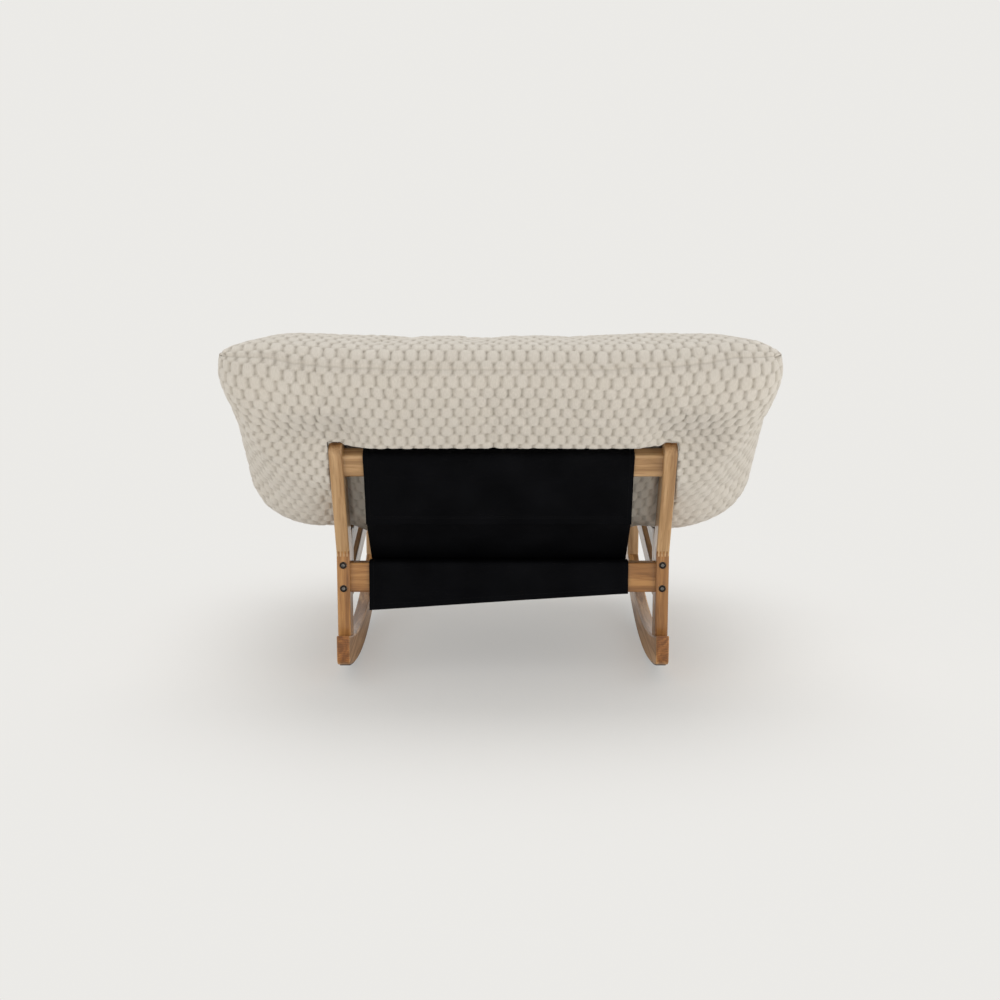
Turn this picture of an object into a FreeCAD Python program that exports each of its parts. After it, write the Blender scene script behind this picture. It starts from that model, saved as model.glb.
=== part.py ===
"""Bean bag rocking chair: a bolted wooden rocker frame, two fabric slings and a loose bag.

Millimetres. +Z is up and +Y is the way the sitter faces. The origin is on the floor, where the rockers
touch it. Left and right are the sitter's: left is -X.
"""
import FreeCAD, Part
import math
import os

V = FreeCAD.Vector

# Frame
frame_width = 640.0
board = 25.0
edge_round = 3.0
fit_clearance = 0.1

# Rockers and the strips under them
rocker_radius = 1050.0
rocker_height = 55.0
rocker_rear_y = -287.0
rocker_front_y = 425.0
rocker_rear_round = 15.0
rocker_front_round = 17.0
strip_thickness = 2.0
strip_margin = 3.0
strip_end_gap = 24.0

# Rear posts
post_setback = 27.0
post_depth = 55.0
post_bend_z = 255.0
post_lean_deg = 26.3
post_upper_length = 245.0
post_top_round = 20.0
finger_count = 8
finger_length = 11.0

# Front legs
leg_depth = 55.0
leg_front_gap = 18.0
leg_top_z = 400.0
leg_top_round = 12.0

# Side frames
stile_depth = 23.0
stile_margin = 3.0
side_rail_height = 40.0
side_rail_slope_deg = 11.0
lower_rail_z = 184.0
upper_rail_z = 264.0

# Cross rails
top_rail_depth = 30.0
top_rail_height = 48.0
top_rail_setback = 8.0
top_rail_along_post = 198.0
top_rail_round = 5.0
lower_rail_depth = 25.0
lower_rail_height = 58.0
lower_rail_setback = 8.0
lower_rail_bottom_z = 177.0
front_rail_depth = 27.0
front_rail_height = 45.0
front_rail_top_z = 363.0

# Stile bolts, with their threaded inserts
bolt_radius = 4.0
bolt_head_radius = 6.5
bolt_head_height = 8.0
bolt_key_size = 6.0
bolt_key_depth = 4.5
bolt_head_proud = 1.5
head_clearance = 0.6
shank_clearance = 0.3
insert_radius = 6.0
insert_length = 18.0
rear_bolt_heights = (186.0, 232.0)
front_bolt_heights = (275.0, 316.0)

# Cross rail bolts, barrel nuts and dowels
cross_bolt_radius = 3.0
cross_head_radius = 5.0
cross_head_height = 6.0
cross_key_size = 5.0
cross_bolt_reach = 44.0
barrel_radius = 5.0
barrel_length = 16.0
barrel_depth = 34.0
dowel_radius = 4.0
dowel_length = 36.0
cross_dowel_step = 15.0
side_dowel_rise = 12.0
top_rail_bolt_step = 8.0
lower_rail_bolt_z = 209.0
lower_rail_dowel_z = 196.5
front_rail_bolt_z = 332.0

# Slings
sling_width = 500.0
sling_shift = -8.0
sling_thickness = 2.5
back_hem_y = -302.0
back_hem_z = 331.0
crease_y = -184.0
crease_z = 224.0
front_hem_run = 90.0
flap_bottom_z = 160.0
flap_slant = 0.064

# Bag
bag_half_width = 505.0
bag_side_round = 80.0
bag_middle_places = (0.0, 150.0, 217.0, 285.0, 355.0)
bag_side_shares = (0.0, 0.4, 0.62, 0.8, 0.92, 1.0)
bag_side_share = 0.26
bag_side_draw = 60.0
bag_rear_y = -500.0
bag_rear_rake = 12.0
bag_front_y = 567.0
bag_top_z = 679.0
bag_rear_low_z = 548.0
bag_rear_low_round = 84.0
bag_rear_round = 58.0
bag_crest_y = -284.0
bag_crest_round = 100.0
bag_fold_y = -49.0
bag_fold_z = 432.0
bag_fold_round = 120.0
bag_crown_y = 275.0
bag_crown_z = 566.0
bag_crown_round = 220.0
bag_nose_top_z = 532.0
bag_nose_bottom_z = 322.0
bag_nose_round = 70.0
bag_apron_z = 386.0
bag_apron_round = 100.0
bag_belly_y = -201.0
bag_belly_z = 294.0
bag_belly_round = 90.0
bag_waist_share = 0.42
bag_waist_swell = 12.0
bag_waist_round = 60.0
bag_sag_waist = (-400.0, 410.0)
bag_sag_hip = (-310.0, 300.0)
bag_sag_from = 150.0
bag_sag_to = 285.0
bag_clearance = 1.0
bag_rest_z = 491.0
bag_seam_rear_z = 629.0
bag_seam_front_z = 436.0
bag_seam_margin = 40.0
cover_thickness = 4.0
liner_thickness = 2.0
layer_gap = 0.4

# Sizes that follow from the ones above
outer_x = frame_width / 2
inner_x = outer_x - board
middle_x = outer_x - board / 2
lean = math.radians(post_lean_deg)
rail_slope = math.tan(math.radians(side_rail_slope_deg))
rail_half_z = side_rail_height / 2 / math.cos(math.radians(side_rail_slope_deg))
wood_radius = rocker_radius - strip_thickness
top_radius = wood_radius - rocker_height
post_rear_y = rocker_rear_y + post_setback
post_front_y = post_rear_y + post_depth
leg_front_y = rocker_front_y - leg_front_gap
leg_rear_y = leg_front_y - leg_depth
rear_stile_front_y = post_front_y + stile_depth
front_stile_rear_y = leg_rear_y - stile_depth
lower_rail_y = post_rear_y + lower_rail_setback
lower_rail_top_z = lower_rail_bottom_z + lower_rail_height
front_rail_y = (leg_rear_y + leg_front_y - front_rail_depth) / 2
front_rail_bottom_z = front_rail_top_z - front_rail_height
bag_flat_half_width = bag_half_width - bag_side_round


def arc_z(radius, y):
    """Height of a rocker arc of this radius at y."""
    return rocker_radius - math.sqrt(radius ** 2 - y ** 2)


def along_post(along, forward):
    """A (y, z) point in the leaning post's own directions, from the back of the bend."""
    y = post_rear_y - along * math.sin(lean) + forward * math.cos(lean)
    z = post_bend_z + along * math.cos(lean) + forward * math.sin(lean)
    return y, z


def rail_line(height, y):
    """Centre height at y of a side rail that meets the post's front face at this height."""
    return height + (y - post_front_y) * rail_slope


def line(x, start, end):
    return Part.LineSegment(V(x, *start), V(x, *end)).toShape()


def arc(x, start, middle, end):
    return Part.Arc(V(x, *start), V(x, *middle), V(x, *end)).toShape()


def rocker_arc(x, radius, y_from, y_to):
    y_mid = (y_from + y_to) / 2
    points = [(y, arc_z(radius, y)) for y in (y_from, y_mid, y_to)]
    return arc(x, *points)


def outline(x, corners):
    """Closed wire at x through (y, z, radius) corners, each rounded by a tangent arc."""
    edges, first, last = [], None, None
    count = len(corners)
    for i, (y, z, radius) in enumerate(corners):
        here = V(x, y, z)
        before = V(x, *corners[i - 1][:2]) - here
        after = V(x, *corners[(i + 1) % count][:2]) - here
        half = before.getAngle(after) / 2
        before.normalize()
        after.normalize()
        cut = radius / math.tan(half) if radius else 0.0
        start, end = here + before * cut, here + after * cut
        if last is None:
            first = start
        else:
            edges.append(Part.LineSegment(last, start).toShape())
        if radius:
            inward = before + after
            inward.normalize()
            middle = here + inward * (radius / math.sin(half) - radius)
            edges.append(Part.Arc(start, middle, end).toShape())
        last = end
    edges.append(Part.LineSegment(last, first).toShape())
    return Part.Wire(edges)


def prism(wire, length):
    return Part.Face(wire).extrude(V(length, 0, 0))


def block(x0, x1, y0, y1, z0, z1):
    return Part.makeBox(x1 - x0, y1 - y0, z1 - z0, V(x0, y0, z0))


def rod(radius, length, start, direction):
    return Part.makeCylinder(radius, length, start, direction)


def flat_on_sides(edge):
    """True for an edge that lies in one of a right-hand board's two wide faces."""
    xs = [v.X for v in edge.Vertexes] + [edge.CenterOfMass.x]
    return max(xs) - min(xs) < 0.01 and min(abs(xs[0] - inner_x), abs(xs[0] - outer_x)) < 0.01


def eased(shape, shortest):
    """A board with its long edges rounded, where they lie in its two wide faces."""
    edges = [e for e in shape.Edges if flat_on_sides(e) and e.Length > shortest]
    return shape.makeFillet(edge_round, edges)


def eased_along_x(shape, radius):
    """A cross rail with its four long edges rounded."""
    edges = [e for e in shape.Edges if abs(e.tangentAt(e.FirstParameter).x) > 0.99]
    return shape.makeFillet(radius, edges)


def mirrored(shape):
    return shape.mirror(V(0, 0, 0), V(1, 0, 0))


def both_sides(solids):
    return solids + [mirrored(s) for s in solids]


def hexagon(across_flats, length, start, direction):
    """Prism for a key socket, from start along direction."""
    corner = across_flats / math.sqrt(3)
    points = [V(corner * math.cos(i * math.pi / 3), corner * math.sin(i * math.pi / 3), 0) for i in range(7)]
    prism_z = Part.Face(Part.makePolygon(points)).extrude(V(0, 0, length))
    prism_z.Placement = FreeCAD.Placement(start, FreeCAD.Rotation(V(0, 0, 1), direction))
    return prism_z


def socket_bolt(top, direction, radius, reach, head_radius, head_height, key_size):
    """Socket head bolt whose head top is at top, with its shank pointing along direction."""
    head = rod(head_radius, head_height, top, direction)
    head = head.makeFillet(1.0, [e for e in head.Edges if (e.CenterOfMass - top).Length < 0.01])
    shank = rod(radius, reach, top + direction * head_height, direction)
    return head.fuse(shank).removeSplitter().cut(hexagon(key_size, bolt_key_depth, top, direction))


# Stile bolts: each passes through a post or leg and ends in an insert in the stile
def stile_bolt_places():
    """(bolt head's top, direction) of the right-hand bolts, rear ones first."""
    rear = [(V(middle_x, post_rear_y - bolt_head_proud, z), V(0, 1, 0)) for z in rear_bolt_heights]
    front = [(V(middle_x, leg_front_y + bolt_head_proud, z), V(0, -1, 0)) for z in front_bolt_heights]
    return rear + front


def stile_bolt_reach():
    return bolt_head_proud + post_depth + insert_length - bolt_head_height - 1.0


def stile_bolt_holes():
    holes = []
    for top, direction in stile_bolt_places():
        holes.append(rod(bolt_head_radius + head_clearance, bolt_head_height, top, direction))
        holes.append(rod(bolt_radius + shank_clearance, post_depth + bolt_head_proud, top, direction))
        seat = top + direction * (bolt_head_proud + post_depth)
        holes.append(rod(insert_radius + fit_clearance, insert_length, seat, direction))
    return holes


def stile_bolts():
    made = [
        socket_bolt(top, direction, bolt_radius, stile_bolt_reach(), bolt_head_radius, bolt_head_height, bolt_key_size)
        for top, direction in stile_bolt_places()
    ]
    return Part.makeCompound(both_sides(made))


def stile_inserts():
    made = []
    for top, direction in stile_bolt_places():
        seat = top + direction * (bolt_head_proud + post_depth)
        sleeve = rod(insert_radius, insert_length, seat, direction)
        made.append(sleeve.cut(rod(bolt_radius + fit_clearance, insert_length, seat, direction)))
    return Part.makeCompound(both_sides(made))


# Cross rail fasteners: a bolt from outside into a barrel nut, and a dowel beside it
def cross_places():
    """(bolt y, z, dowel y, z) for the top, lower and front rails."""
    middle = top_rail_setback + top_rail_depth / 2
    top_bolt = along_post(top_rail_along_post - top_rail_bolt_step, middle)
    top_dowel = along_post(top_rail_along_post - top_rail_bolt_step + cross_dowel_step, middle)
    lower_y = lower_rail_y + lower_rail_depth / 2
    front_y = front_rail_y + front_rail_depth / 2
    return [
        (*top_bolt, *top_dowel),
        (lower_y, lower_rail_bolt_z, lower_y, lower_rail_dowel_z),
        (front_y, front_rail_bolt_z, front_y, front_rail_bolt_z + cross_dowel_step),
    ]


def cross_bolt_holes():
    holes, inward = [], V(-1, 0, 0)
    for y, z, dowel_y, dowel_z in cross_places():
        top = V(outer_x, y, z)
        holes.append(rod(cross_head_radius + head_clearance, cross_head_height + fit_clearance, top, inward))
        holes.append(rod(cross_bolt_radius + shank_clearance, cross_head_height + cross_bolt_reach + 1.0, top, inward))
        centre = V(inner_x - barrel_depth + board / 2, y, z)
        holes.append(rod(barrel_radius + fit_clearance, barrel_length, centre - V(0, barrel_length / 2, 0), V(0, 1, 0)))
        start = V(inner_x + dowel_length / 2, dowel_y, dowel_z)
        holes.append(rod(dowel_radius + fit_clearance, dowel_length, start, inward))
    return holes


def cross_rail_bolts():
    inward = V(-1, 0, 0)
    made = [
        socket_bolt(
            V(outer_x, y, z), inward, cross_bolt_radius, cross_bolt_reach,
            cross_head_radius, cross_head_height, cross_key_size,
        )
        for y, z, _, _ in cross_places()
    ]
    return Part.makeCompound(both_sides(made))


def cross_rail_barrel_nuts():
    made = []
    for y, z, _, _ in cross_places():
        centre = V(inner_x - barrel_depth + board / 2, y, z)
        nut = rod(barrel_radius, barrel_length, centre - V(0, barrel_length / 2, 0), V(0, 1, 0))
        bore = rod(cross_bolt_radius + fit_clearance, 4 * barrel_radius, centre + V(2 * barrel_radius, 0, 0), V(-1, 0, 0))
        made.append(nut.cut(bore))
    return Part.makeCompound(both_sides(made))


def cross_rail_dowels():
    made = [
        rod(dowel_radius, dowel_length, V(inner_x + dowel_length / 2, y, z), V(-1, 0, 0))
        for _, _, y, z in cross_places()
    ]
    return Part.makeCompound(both_sides(made))


# Dowels between the rockers and what stands on them, and between the side rails and their stiles
def rocker_dowel_starts():
    ends = []
    for rear_y, depth in ((post_rear_y, post_depth), (leg_rear_y, leg_depth)):
        for share in (0.28, 0.72):
            y = rear_y + depth * share
            ends.append(V(middle_x, y, arc_z(top_radius, y) - dowel_length / 2))
    return ends


def side_dowel_starts():
    starts = []
    for height in (lower_rail_z + side_dowel_rise, upper_rail_z):
        for y in (rear_stile_front_y, front_stile_rear_y):
            starts.append(V(middle_x, y - dowel_length / 2, rail_line(height, y)))
    return starts


def dowels(starts, direction, grow=0.0):
    return [rod(dowel_radius + grow, dowel_length, start, direction) for start in starts]


def all_holes():
    """Every hole of the right-hand side, as one list of cutters."""
    holes = stile_bolt_holes() + cross_bolt_holes()
    holes += dowels(rocker_dowel_starts(), V(0, 0, 1), fit_clearance)
    holes += dowels(side_dowel_starts(), V(0, 1, 0), fit_clearance)
    return holes


# Rockers
def rocker():
    rear_low = (rocker_rear_y, arc_z(wood_radius, rocker_rear_y))
    rear_high = (rocker_rear_y, arc_z(top_radius, rocker_rear_y))
    front_low = (rocker_front_y, arc_z(wood_radius, rocker_front_y))
    front_high = (rocker_front_y, arc_z(top_radius, rocker_front_y))
    wire = Part.Wire([
        rocker_arc(inner_x, wood_radius, rocker_rear_y, rocker_front_y),
        line(inner_x, front_low, front_high),
        rocker_arc(inner_x, top_radius, rocker_front_y, rocker_rear_y),
        line(inner_x, rear_high, rear_low),
    ])
    solid = prism(wire, board)

    def crossing(places):
        wanted = []
        for edge in solid.Edges:
            centre = edge.CenterOfMass
            across = abs(edge.Length - board) < 0.01
            if across and any(math.hypot(centre.y - y, centre.z - z) < 0.1 for y, z in places):
                wanted.append(edge)
        return wanted

    solid = solid.makeFillet(rocker_rear_round, crossing([rear_low]))
    solid = solid.makeFillet(rocker_front_round, crossing([front_low, front_high]))
    long_edges = [e for e in solid.Edges if flat_on_sides(e) and e.Length > 200]
    return solid.makeFillet(edge_round, long_edges)


def rocker_strip():
    y_rear, y_front = rocker_rear_y + strip_end_gap, rocker_front_y - strip_end_gap
    x = inner_x + strip_margin
    wire = Part.Wire([
        rocker_arc(x, rocker_radius, y_rear, y_front),
        line(x, (y_front, arc_z(rocker_radius, y_front)), (y_front, arc_z(wood_radius, y_front))),
        rocker_arc(x, wood_radius, y_front, y_rear),
        line(x, (y_rear, arc_z(wood_radius, y_rear)), (y_rear, arc_z(rocker_radius, y_rear))),
    ])
    return prism(wire, board - 2 * strip_margin)


# Rear posts: one outline with a bend, parted at the bend by a finger joint
def bend_front():
    return post_front_y, post_bend_z + post_depth * math.tan(lean / 2)


def whole_post():
    foot_rear = (post_rear_y, arc_z(top_radius, post_rear_y))
    foot_front = (post_front_y, arc_z(top_radius, post_front_y))
    bend_rear = (post_rear_y, post_bend_z)
    head_rear = along_post(post_upper_length, 0)
    head_front = along_post(post_upper_length, post_depth)
    wire = Part.Wire([
        rocker_arc(inner_x, top_radius, post_rear_y, post_front_y),
        line(inner_x, foot_front, bend_front()),
        line(inner_x, bend_front(), head_front),
        line(inner_x, head_front, head_rear),
        line(inner_x, head_rear, bend_rear),
        line(inner_x, bend_rear, foot_rear),
    ])
    solid = prism(wire, board)
    head_edges = []
    for edge in solid.Edges:
        centre = edge.CenterOfMass
        at_head = [math.hypot(centre.y - y, centre.z - z) < 0.1 for y, z in (head_rear, head_front)]
        if abs(edge.Length - board) < 0.01 and any(at_head):
            head_edges.append(edge)
    solid = solid.makeFillet(post_top_round, head_edges)
    return eased(solid, 12.0)


def below_bend():
    """The space under the finger joint: strips across X that end high and low by turns."""
    front_y, front_z = bend_front()
    run_y, run_z = front_y - post_rear_y, front_z - post_bend_z
    length = math.hypot(run_y, run_z)
    up = (-run_z / length, run_y / length)
    strip = board / finger_count
    comb = None
    for i in range(finger_count):
        rise = finger_length / 2 * (1 if i % 2 == 0 else -1)
        rear = (post_rear_y - run_y + up[0] * rise, post_bend_z - run_z + up[1] * rise)
        front = (front_y + run_y + up[0] * rise, front_z + run_z + up[1] * rise)
        corners = [(*rear, 0), (*front, 0), (front[0], 0, 0), (rear[0], 0, 0)]
        piece = prism(outline(inner_x + i * strip, corners), strip)
        comb = piece if comb is None else comb.fuse(piece)
    return comb


def front_leg():
    wire = Part.Wire([
        rocker_arc(inner_x, top_radius, leg_rear_y, leg_front_y),
        line(inner_x, (leg_front_y, arc_z(top_radius, leg_front_y)), (leg_front_y, leg_top_z)),
        line(inner_x, (leg_front_y, leg_top_z), (leg_rear_y, leg_top_z)),
        line(inner_x, (leg_rear_y, leg_top_z), (leg_rear_y, arc_z(top_radius, leg_rear_y))),
    ])
    solid = prism(wire, board)
    front_top = []
    for edge in solid.Edges:
        centre = edge.CenterOfMass
        if abs(centre.y - leg_front_y) < 0.1 and abs(centre.z - leg_top_z) < 0.1:
            front_top.append(edge)
    solid = solid.makeFillet(leg_top_round, front_top)
    return eased(solid, 12.0)


# Side frames
def stile(y0, y1):
    low = rail_line(lower_rail_z, y0) - rail_half_z - stile_margin
    high = rail_line(upper_rail_z, y1) + rail_half_z + stile_margin
    solid = block(inner_x, outer_x, y0, y1, low, high)
    upright = [e for e in solid.Edges if abs(e.tangentAt(e.FirstParameter).z) > 0.99]
    return solid.makeFillet(edge_round / 2, upright)


def side_rail(height):
    y0, y1 = rear_stile_front_y, front_stile_rear_y
    low0, low1 = rail_line(height, y0) - rail_half_z, rail_line(height, y1) - rail_half_z
    high0, high1 = rail_line(height, y0) + rail_half_z, rail_line(height, y1) + rail_half_z
    corners = [(y0, low0, 0), (y1, low1, 0), (y1, high1, 0), (y0, high0, 0)]
    return eased(prism(outline(inner_x, corners), board), 100.0)


# Cross rails
def cross_rail(corners, radius):
    return eased_along_x(prism(outline(-inner_x, corners), 2 * inner_x), radius)


def top_rail_corners(grow=0.0, radius=0.0):
    low = top_rail_along_post - top_rail_height / 2 - grow
    high = top_rail_along_post + top_rail_height / 2 + grow
    rear = top_rail_setback - grow
    front = top_rail_setback + top_rail_depth + grow
    places = ((low, rear), (low, front), (high, front), (high, rear))
    return [(*along_post(a, f), radius) for a, f in places]


def lower_rail_corners():
    y0, y1 = lower_rail_y, lower_rail_y + lower_rail_depth
    z0, z1 = lower_rail_bottom_z, lower_rail_top_z
    return [(y0, z0, 0), (y1, z0, 0), (y1, z1, 0), (y0, z1, 0)]


def front_rail_corners():
    y0, y1 = front_rail_y, front_rail_y + front_rail_depth
    z0, z1 = front_rail_bottom_z, front_rail_top_z
    return [(y0, z0, 0), (y1, z0, 0), (y1, z1, 0), (y0, z1, 0)]


# Slings: bands of constant thickness along a path of corners
def beside(path, distance):
    """An open path of (y, z) points moved to its left by this distance."""
    moved = []
    for i, (y, z) in enumerate(path):
        normals = []
        for a, b in ((i - 1, i), (i, i + 1)):
            if a >= 0 and b < len(path):
                dy, dz = path[b][0] - path[a][0], path[b][1] - path[a][1]
                length = math.hypot(dy, dz)
                normals.append((-dz / length, dy / length))
        ny = sum(n[0] for n in normals) / len(normals)
        nz = sum(n[1] for n in normals) / len(normals)
        scale = distance / (ny ** 2 + nz ** 2)
        moved.append((y + ny * scale, z + nz * scale))
    return moved


def band(path):
    """Solid band of the sling's thickness on the left of an open path of (y, z) points."""
    corners = [(*p, 0) for p in path] + [(*p, 0) for p in reversed(beside(path, sling_thickness))]
    return prism(outline(sling_shift - sling_width / 2, corners), sling_width)


def rounded_over(shape, places, radius):
    """A sling with its outer bends rounded where it turns over these (y, z) corners."""
    picked = []
    for edge in shape.Edges:
        centre = edge.CenterOfMass
        near = any(math.hypot(centre.y - y, centre.z - z) < 2 * sling_thickness for y, z in places)
        inside = any(math.hypot(centre.y - y, centre.z - z) < sling_thickness for y, z in places)
        if edge.Length > sling_width - 1.0 and near and not inside:
            picked.append(edge)
    return shape.makeFillet(radius, picked)


def back_sling():
    """Sleeve round the top rail whose two layers meet at the hem, and a single layer on to the crease."""
    low_rear, low_front, high_front, high_rear = [c[:2] for c in top_rail_corners()]
    hem = (back_hem_y, back_hem_z)
    in_hem = (back_hem_y + sling_thickness / 2, back_hem_z)
    crease = (crease_y, crease_z)
    front = band([high_rear, high_front, low_front, hem, crease])
    rear = band([in_hem, low_rear, high_rear, high_front])
    solid = rear.fuse(front).removeSplitter()
    return rounded_over(solid, (high_front, high_rear), top_rail_round)


def flap_waste():
    """What is trimmed off the flap, whose lower edge hangs aslant."""
    y = lower_rail_y - 2 * sling_thickness
    ends = [sling_shift + side * (sling_width / 2 + 1.0) for side in (-1, 1)]
    edge = [V(x, y, flap_bottom_z + flap_slant * x) for x in ends]
    points = edge + [V(ends[1], y, 0), V(ends[0], y, 0), edge[0]]
    return Part.Face(Part.makePolygon(points)).extrude(V(0, 3 * sling_thickness, 0))


def seat_sling():
    """Flap, over the lower rear rail, under the bag, round the front rail and back to a hem under the seat."""
    flap_end = (lower_rail_y, flap_bottom_z - abs(flap_slant) * sling_width)
    rear_top = (lower_rail_y, lower_rail_top_z)
    over_rail = (lower_rail_y + lower_rail_depth, lower_rail_top_z)
    crease = (crease_y, crease_z)
    low_rear, low_front, high_front, high_rear = [c[:2] for c in front_rail_corners()]
    share = front_hem_run / (high_rear[0] - crease_y)
    hem = tuple(a + (b - a) * share for a, b in zip(high_rear, crease))
    in_hem = (hem[0], hem[1] + sling_thickness / 2)
    seat = band([flap_end, rear_top, over_rail, crease, high_rear, high_front])
    sleeve = band([high_rear, high_front, low_front, low_rear, in_hem])
    solid = seat.fuse(sleeve).removeSplitter()
    solid = rounded_over(solid, (rear_top, high_front, low_front), edge_round)
    return solid.cut(flap_waste())


# Bag: sections across X, full over the middle and drawn in towards the two sides
def bag_chains(x):
    """(lower, upper) chains of (y, z, radius) at x, rear to front. The middle sags on to the slings."""
    share = min(max((abs(x) - bag_sag_from) / (bag_sag_to - bag_sag_from), 0.0), 1.0)
    share = share * share * (3 - 2 * share)
    rear = (bag_rear_y, bag_rear_low_z, bag_rear_low_round)

    def down_back(part):
        """Point this part of the way down the back's underside, a little proud of a straight line."""
        swell = bag_waist_swell * 4 * part * (1 - part)
        y = bag_rear_y + (bag_belly_y - bag_rear_y) * part - swell
        z = bag_rear_low_z + (bag_belly_z - bag_rear_low_z) * part - swell
        return y, z, bag_waist_round

    waist = down_back(bag_waist_share)
    hip = down_back((1 + bag_waist_share) / 2)
    apron = (leg_front_y, bag_apron_z, bag_apron_round)
    nose = (bag_front_y, bag_nose_bottom_z, bag_nose_round)
    crease = (crease_y, crease_z, bag_belly_round)
    belly = (bag_belly_y, bag_belly_z, bag_belly_round)
    sagging = [rear, (*bag_sag_waist, bag_waist_round), (*bag_sag_hip, bag_waist_round), crease, apron, nose]
    hanging = [rear, waist, hip, belly, apron, nose]
    lower = []
    for a, b in zip(sagging, hanging):
        lower.append(tuple(p + (q - p) * share for p, q in zip(a, b)))
    upper = [
        (bag_rear_y + bag_rear_rake, bag_top_z, bag_rear_round),
        (bag_crest_y, bag_top_z, bag_crest_round),
        (bag_fold_y, bag_fold_z, bag_fold_round),
        (bag_crown_y, bag_crown_z, bag_crown_round),
        (bag_front_y, bag_nose_top_z, bag_nose_round),
    ]
    return lower, upper


def bag_section(x, inset):
    """Closed section of the bag at x, inset by this much from the cover's outside."""
    lower, upper = bag_chains(x)
    reach = max(abs(x) - bag_flat_half_width, 0.0) / bag_side_round
    full = max(math.sqrt(max(1 - reach ** 2, 0.0)), bag_side_share)
    draw = bag_side_draw * (1 - full)
    partners = [upper[0], upper[1], upper[2], upper[2], upper[3], upper[4]]
    middles = [((a[0] + b[0]) / 2, (a[1] + b[1]) / 2) for a, b in zip(lower, partners)]
    fold = ((middles[2][0] + middles[3][0]) / 2, (middles[2][1] + middles[3][1]) / 2)
    upper_middles = [middles[0], middles[1], fold, middles[4], middles[5]]

    def drawn(points, centres):
        """Points drawn towards the section's middle line, and squeezed between its two ends."""
        made = []
        for (y, z, radius), (cy, cz) in zip(points, centres):
            near_y = cy + (y - cy) * full
            pull = draw * (1 - 2 * (near_y - bag_rear_y) / (bag_front_y - bag_rear_y))
            made.append((near_y + pull, cz + (z - cz) * full, radius * full))
        return made

    return inset_ring(drawn(lower, middles) + drawn(upper, upper_middles)[::-1], inset)


def inset_ring(ring, inset):
    """A ring of rounded corners moved inwards, with its radii kept concentric."""
    moved, count = [], len(ring)
    for i, (y, z, radius) in enumerate(ring):
        (py, pz, _), (ny, nz, _) = ring[i - 1], ring[(i + 1) % count]
        in_len, out_len = math.hypot(y - py, z - pz), math.hypot(ny - y, nz - z)
        a = ((pz - z) / in_len, (y - py) / in_len)
        b = ((z - nz) / out_len, (ny - y) / out_len)
        my, mz = (a[0] + b[0]) / 2, (a[1] + b[1]) / 2
        scale = inset / (my ** 2 + mz ** 2)
        turn = (y - py) * (nz - z) - (z - pz) * (ny - y)
        new_radius = radius - inset if turn > 0 else radius + inset
        moved.append((y + my * scale, z + mz * scale, max(new_radius, 1.0)))
    return moved


def frame_room(inset):
    """The room that the frame takes behind and under the bag: between the side frames, and round each of them."""
    gap = bag_clearance + inset
    rest_z = bag_rest_z + inset
    over_post_z = along_post(post_upper_length, post_depth)[1] + gap
    behind = bag_rear_y - post_depth
    _, rail_low, rail_high, _ = [c[:2] for c in top_rail_corners()]
    _, front_low, front_high, front_rear = [c[:2] for c in front_rail_corners()]
    path = [rail_high, rail_low, (back_hem_y, back_hem_z), (crease_y, crease_z), front_rear, front_high, front_low]
    path = beside(path, sling_thickness + gap)
    between = [(path[0][0], rest_z)] + path + [(path[-1][0], 0), (behind, 0), (behind, rest_z)]

    def on_post(z):
        """Point at height z on a line in front of the leaning post."""
        y0, z0 = along_post(0, post_depth + gap)
        return y0 - (z - z0) * math.tan(lean), z

    rail_top = upper_rail_z + rail_half_z + stile_margin + gap
    round_side = [
        (behind, 0),
        (leg_front_y + gap, 0),
        (leg_front_y + gap, leg_top_z + gap),
        (front_stile_rear_y, leg_top_z + gap),
        (rear_stile_front_y, rail_line(rail_top, rear_stile_front_y)),
        on_post(rail_line(rail_top, rear_stile_front_y)),
        on_post(over_post_z),
        (behind, over_post_z),
    ]
    middle = prism(outline(-inner_x, [(*p, 0) for p in between]), 2 * inner_x)
    side = prism(outline(inner_x - gap, [(*p, 0) for p in round_side]), board + 2 * gap)
    return [middle, side, mirrored(side)]


def bag_body(inset):
    """The bag's solid, inset by this much from the cover's outside."""
    halves = list(bag_middle_places) + [bag_flat_half_width + bag_side_round * t for t in bag_side_shares]
    places = [-x for x in halves[:0:-1]] + halves
    squeeze = (bag_half_width - inset) / bag_half_width
    wires = [outline(x * squeeze, bag_section(x, inset)) for x in places]
    return Part.makeLoft(wires, True, False).cut(frame_room(inset))


def above_seam():
    """The space above the surface in which the cover's two panels meet."""
    wide = bag_half_width + bag_seam_margin
    fold_y = (bag_fold_y + bag_belly_y) / 2
    fold_z = (bag_fold_z + bag_belly_z) / 2
    corners = [
        (bag_rear_y - bag_seam_margin, bag_seam_rear_z, 0),
        (bag_rear_y + bag_seam_margin, bag_seam_rear_z, 0),
        ((bag_rear_y + fold_y) / 2, (bag_seam_rear_z + fold_z) / 2 + bag_seam_margin, bag_waist_round),
        (fold_y, fold_z, bag_waist_round),
        (bag_crown_y, bag_seam_front_z, bag_crown_round),
        (bag_front_y + bag_seam_margin, bag_seam_front_z, 0),
        (bag_front_y + bag_seam_margin, bag_top_z + bag_seam_margin, 0),
        (bag_rear_y - bag_seam_margin, bag_top_z + bag_seam_margin, 0),
    ]
    return prism(outline(-wide, corners), 2 * wide)


def bag_pieces():
    outside = bag_body(0.0)
    cover = outside.cut(bag_body(cover_thickness))
    liner_inset = cover_thickness + layer_gap
    fill_inset = liner_inset + liner_thickness + layer_gap
    top_space = above_seam()
    return {
        "bag_top_cover": cover.common(top_space),
        "bag_back_cover": cover.cut(top_space),
        "bag_liner": bag_body(liner_inset).cut(bag_body(liner_inset + liner_thickness)),
        "bag_filling": bag_body(fill_inset),
    }


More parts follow.
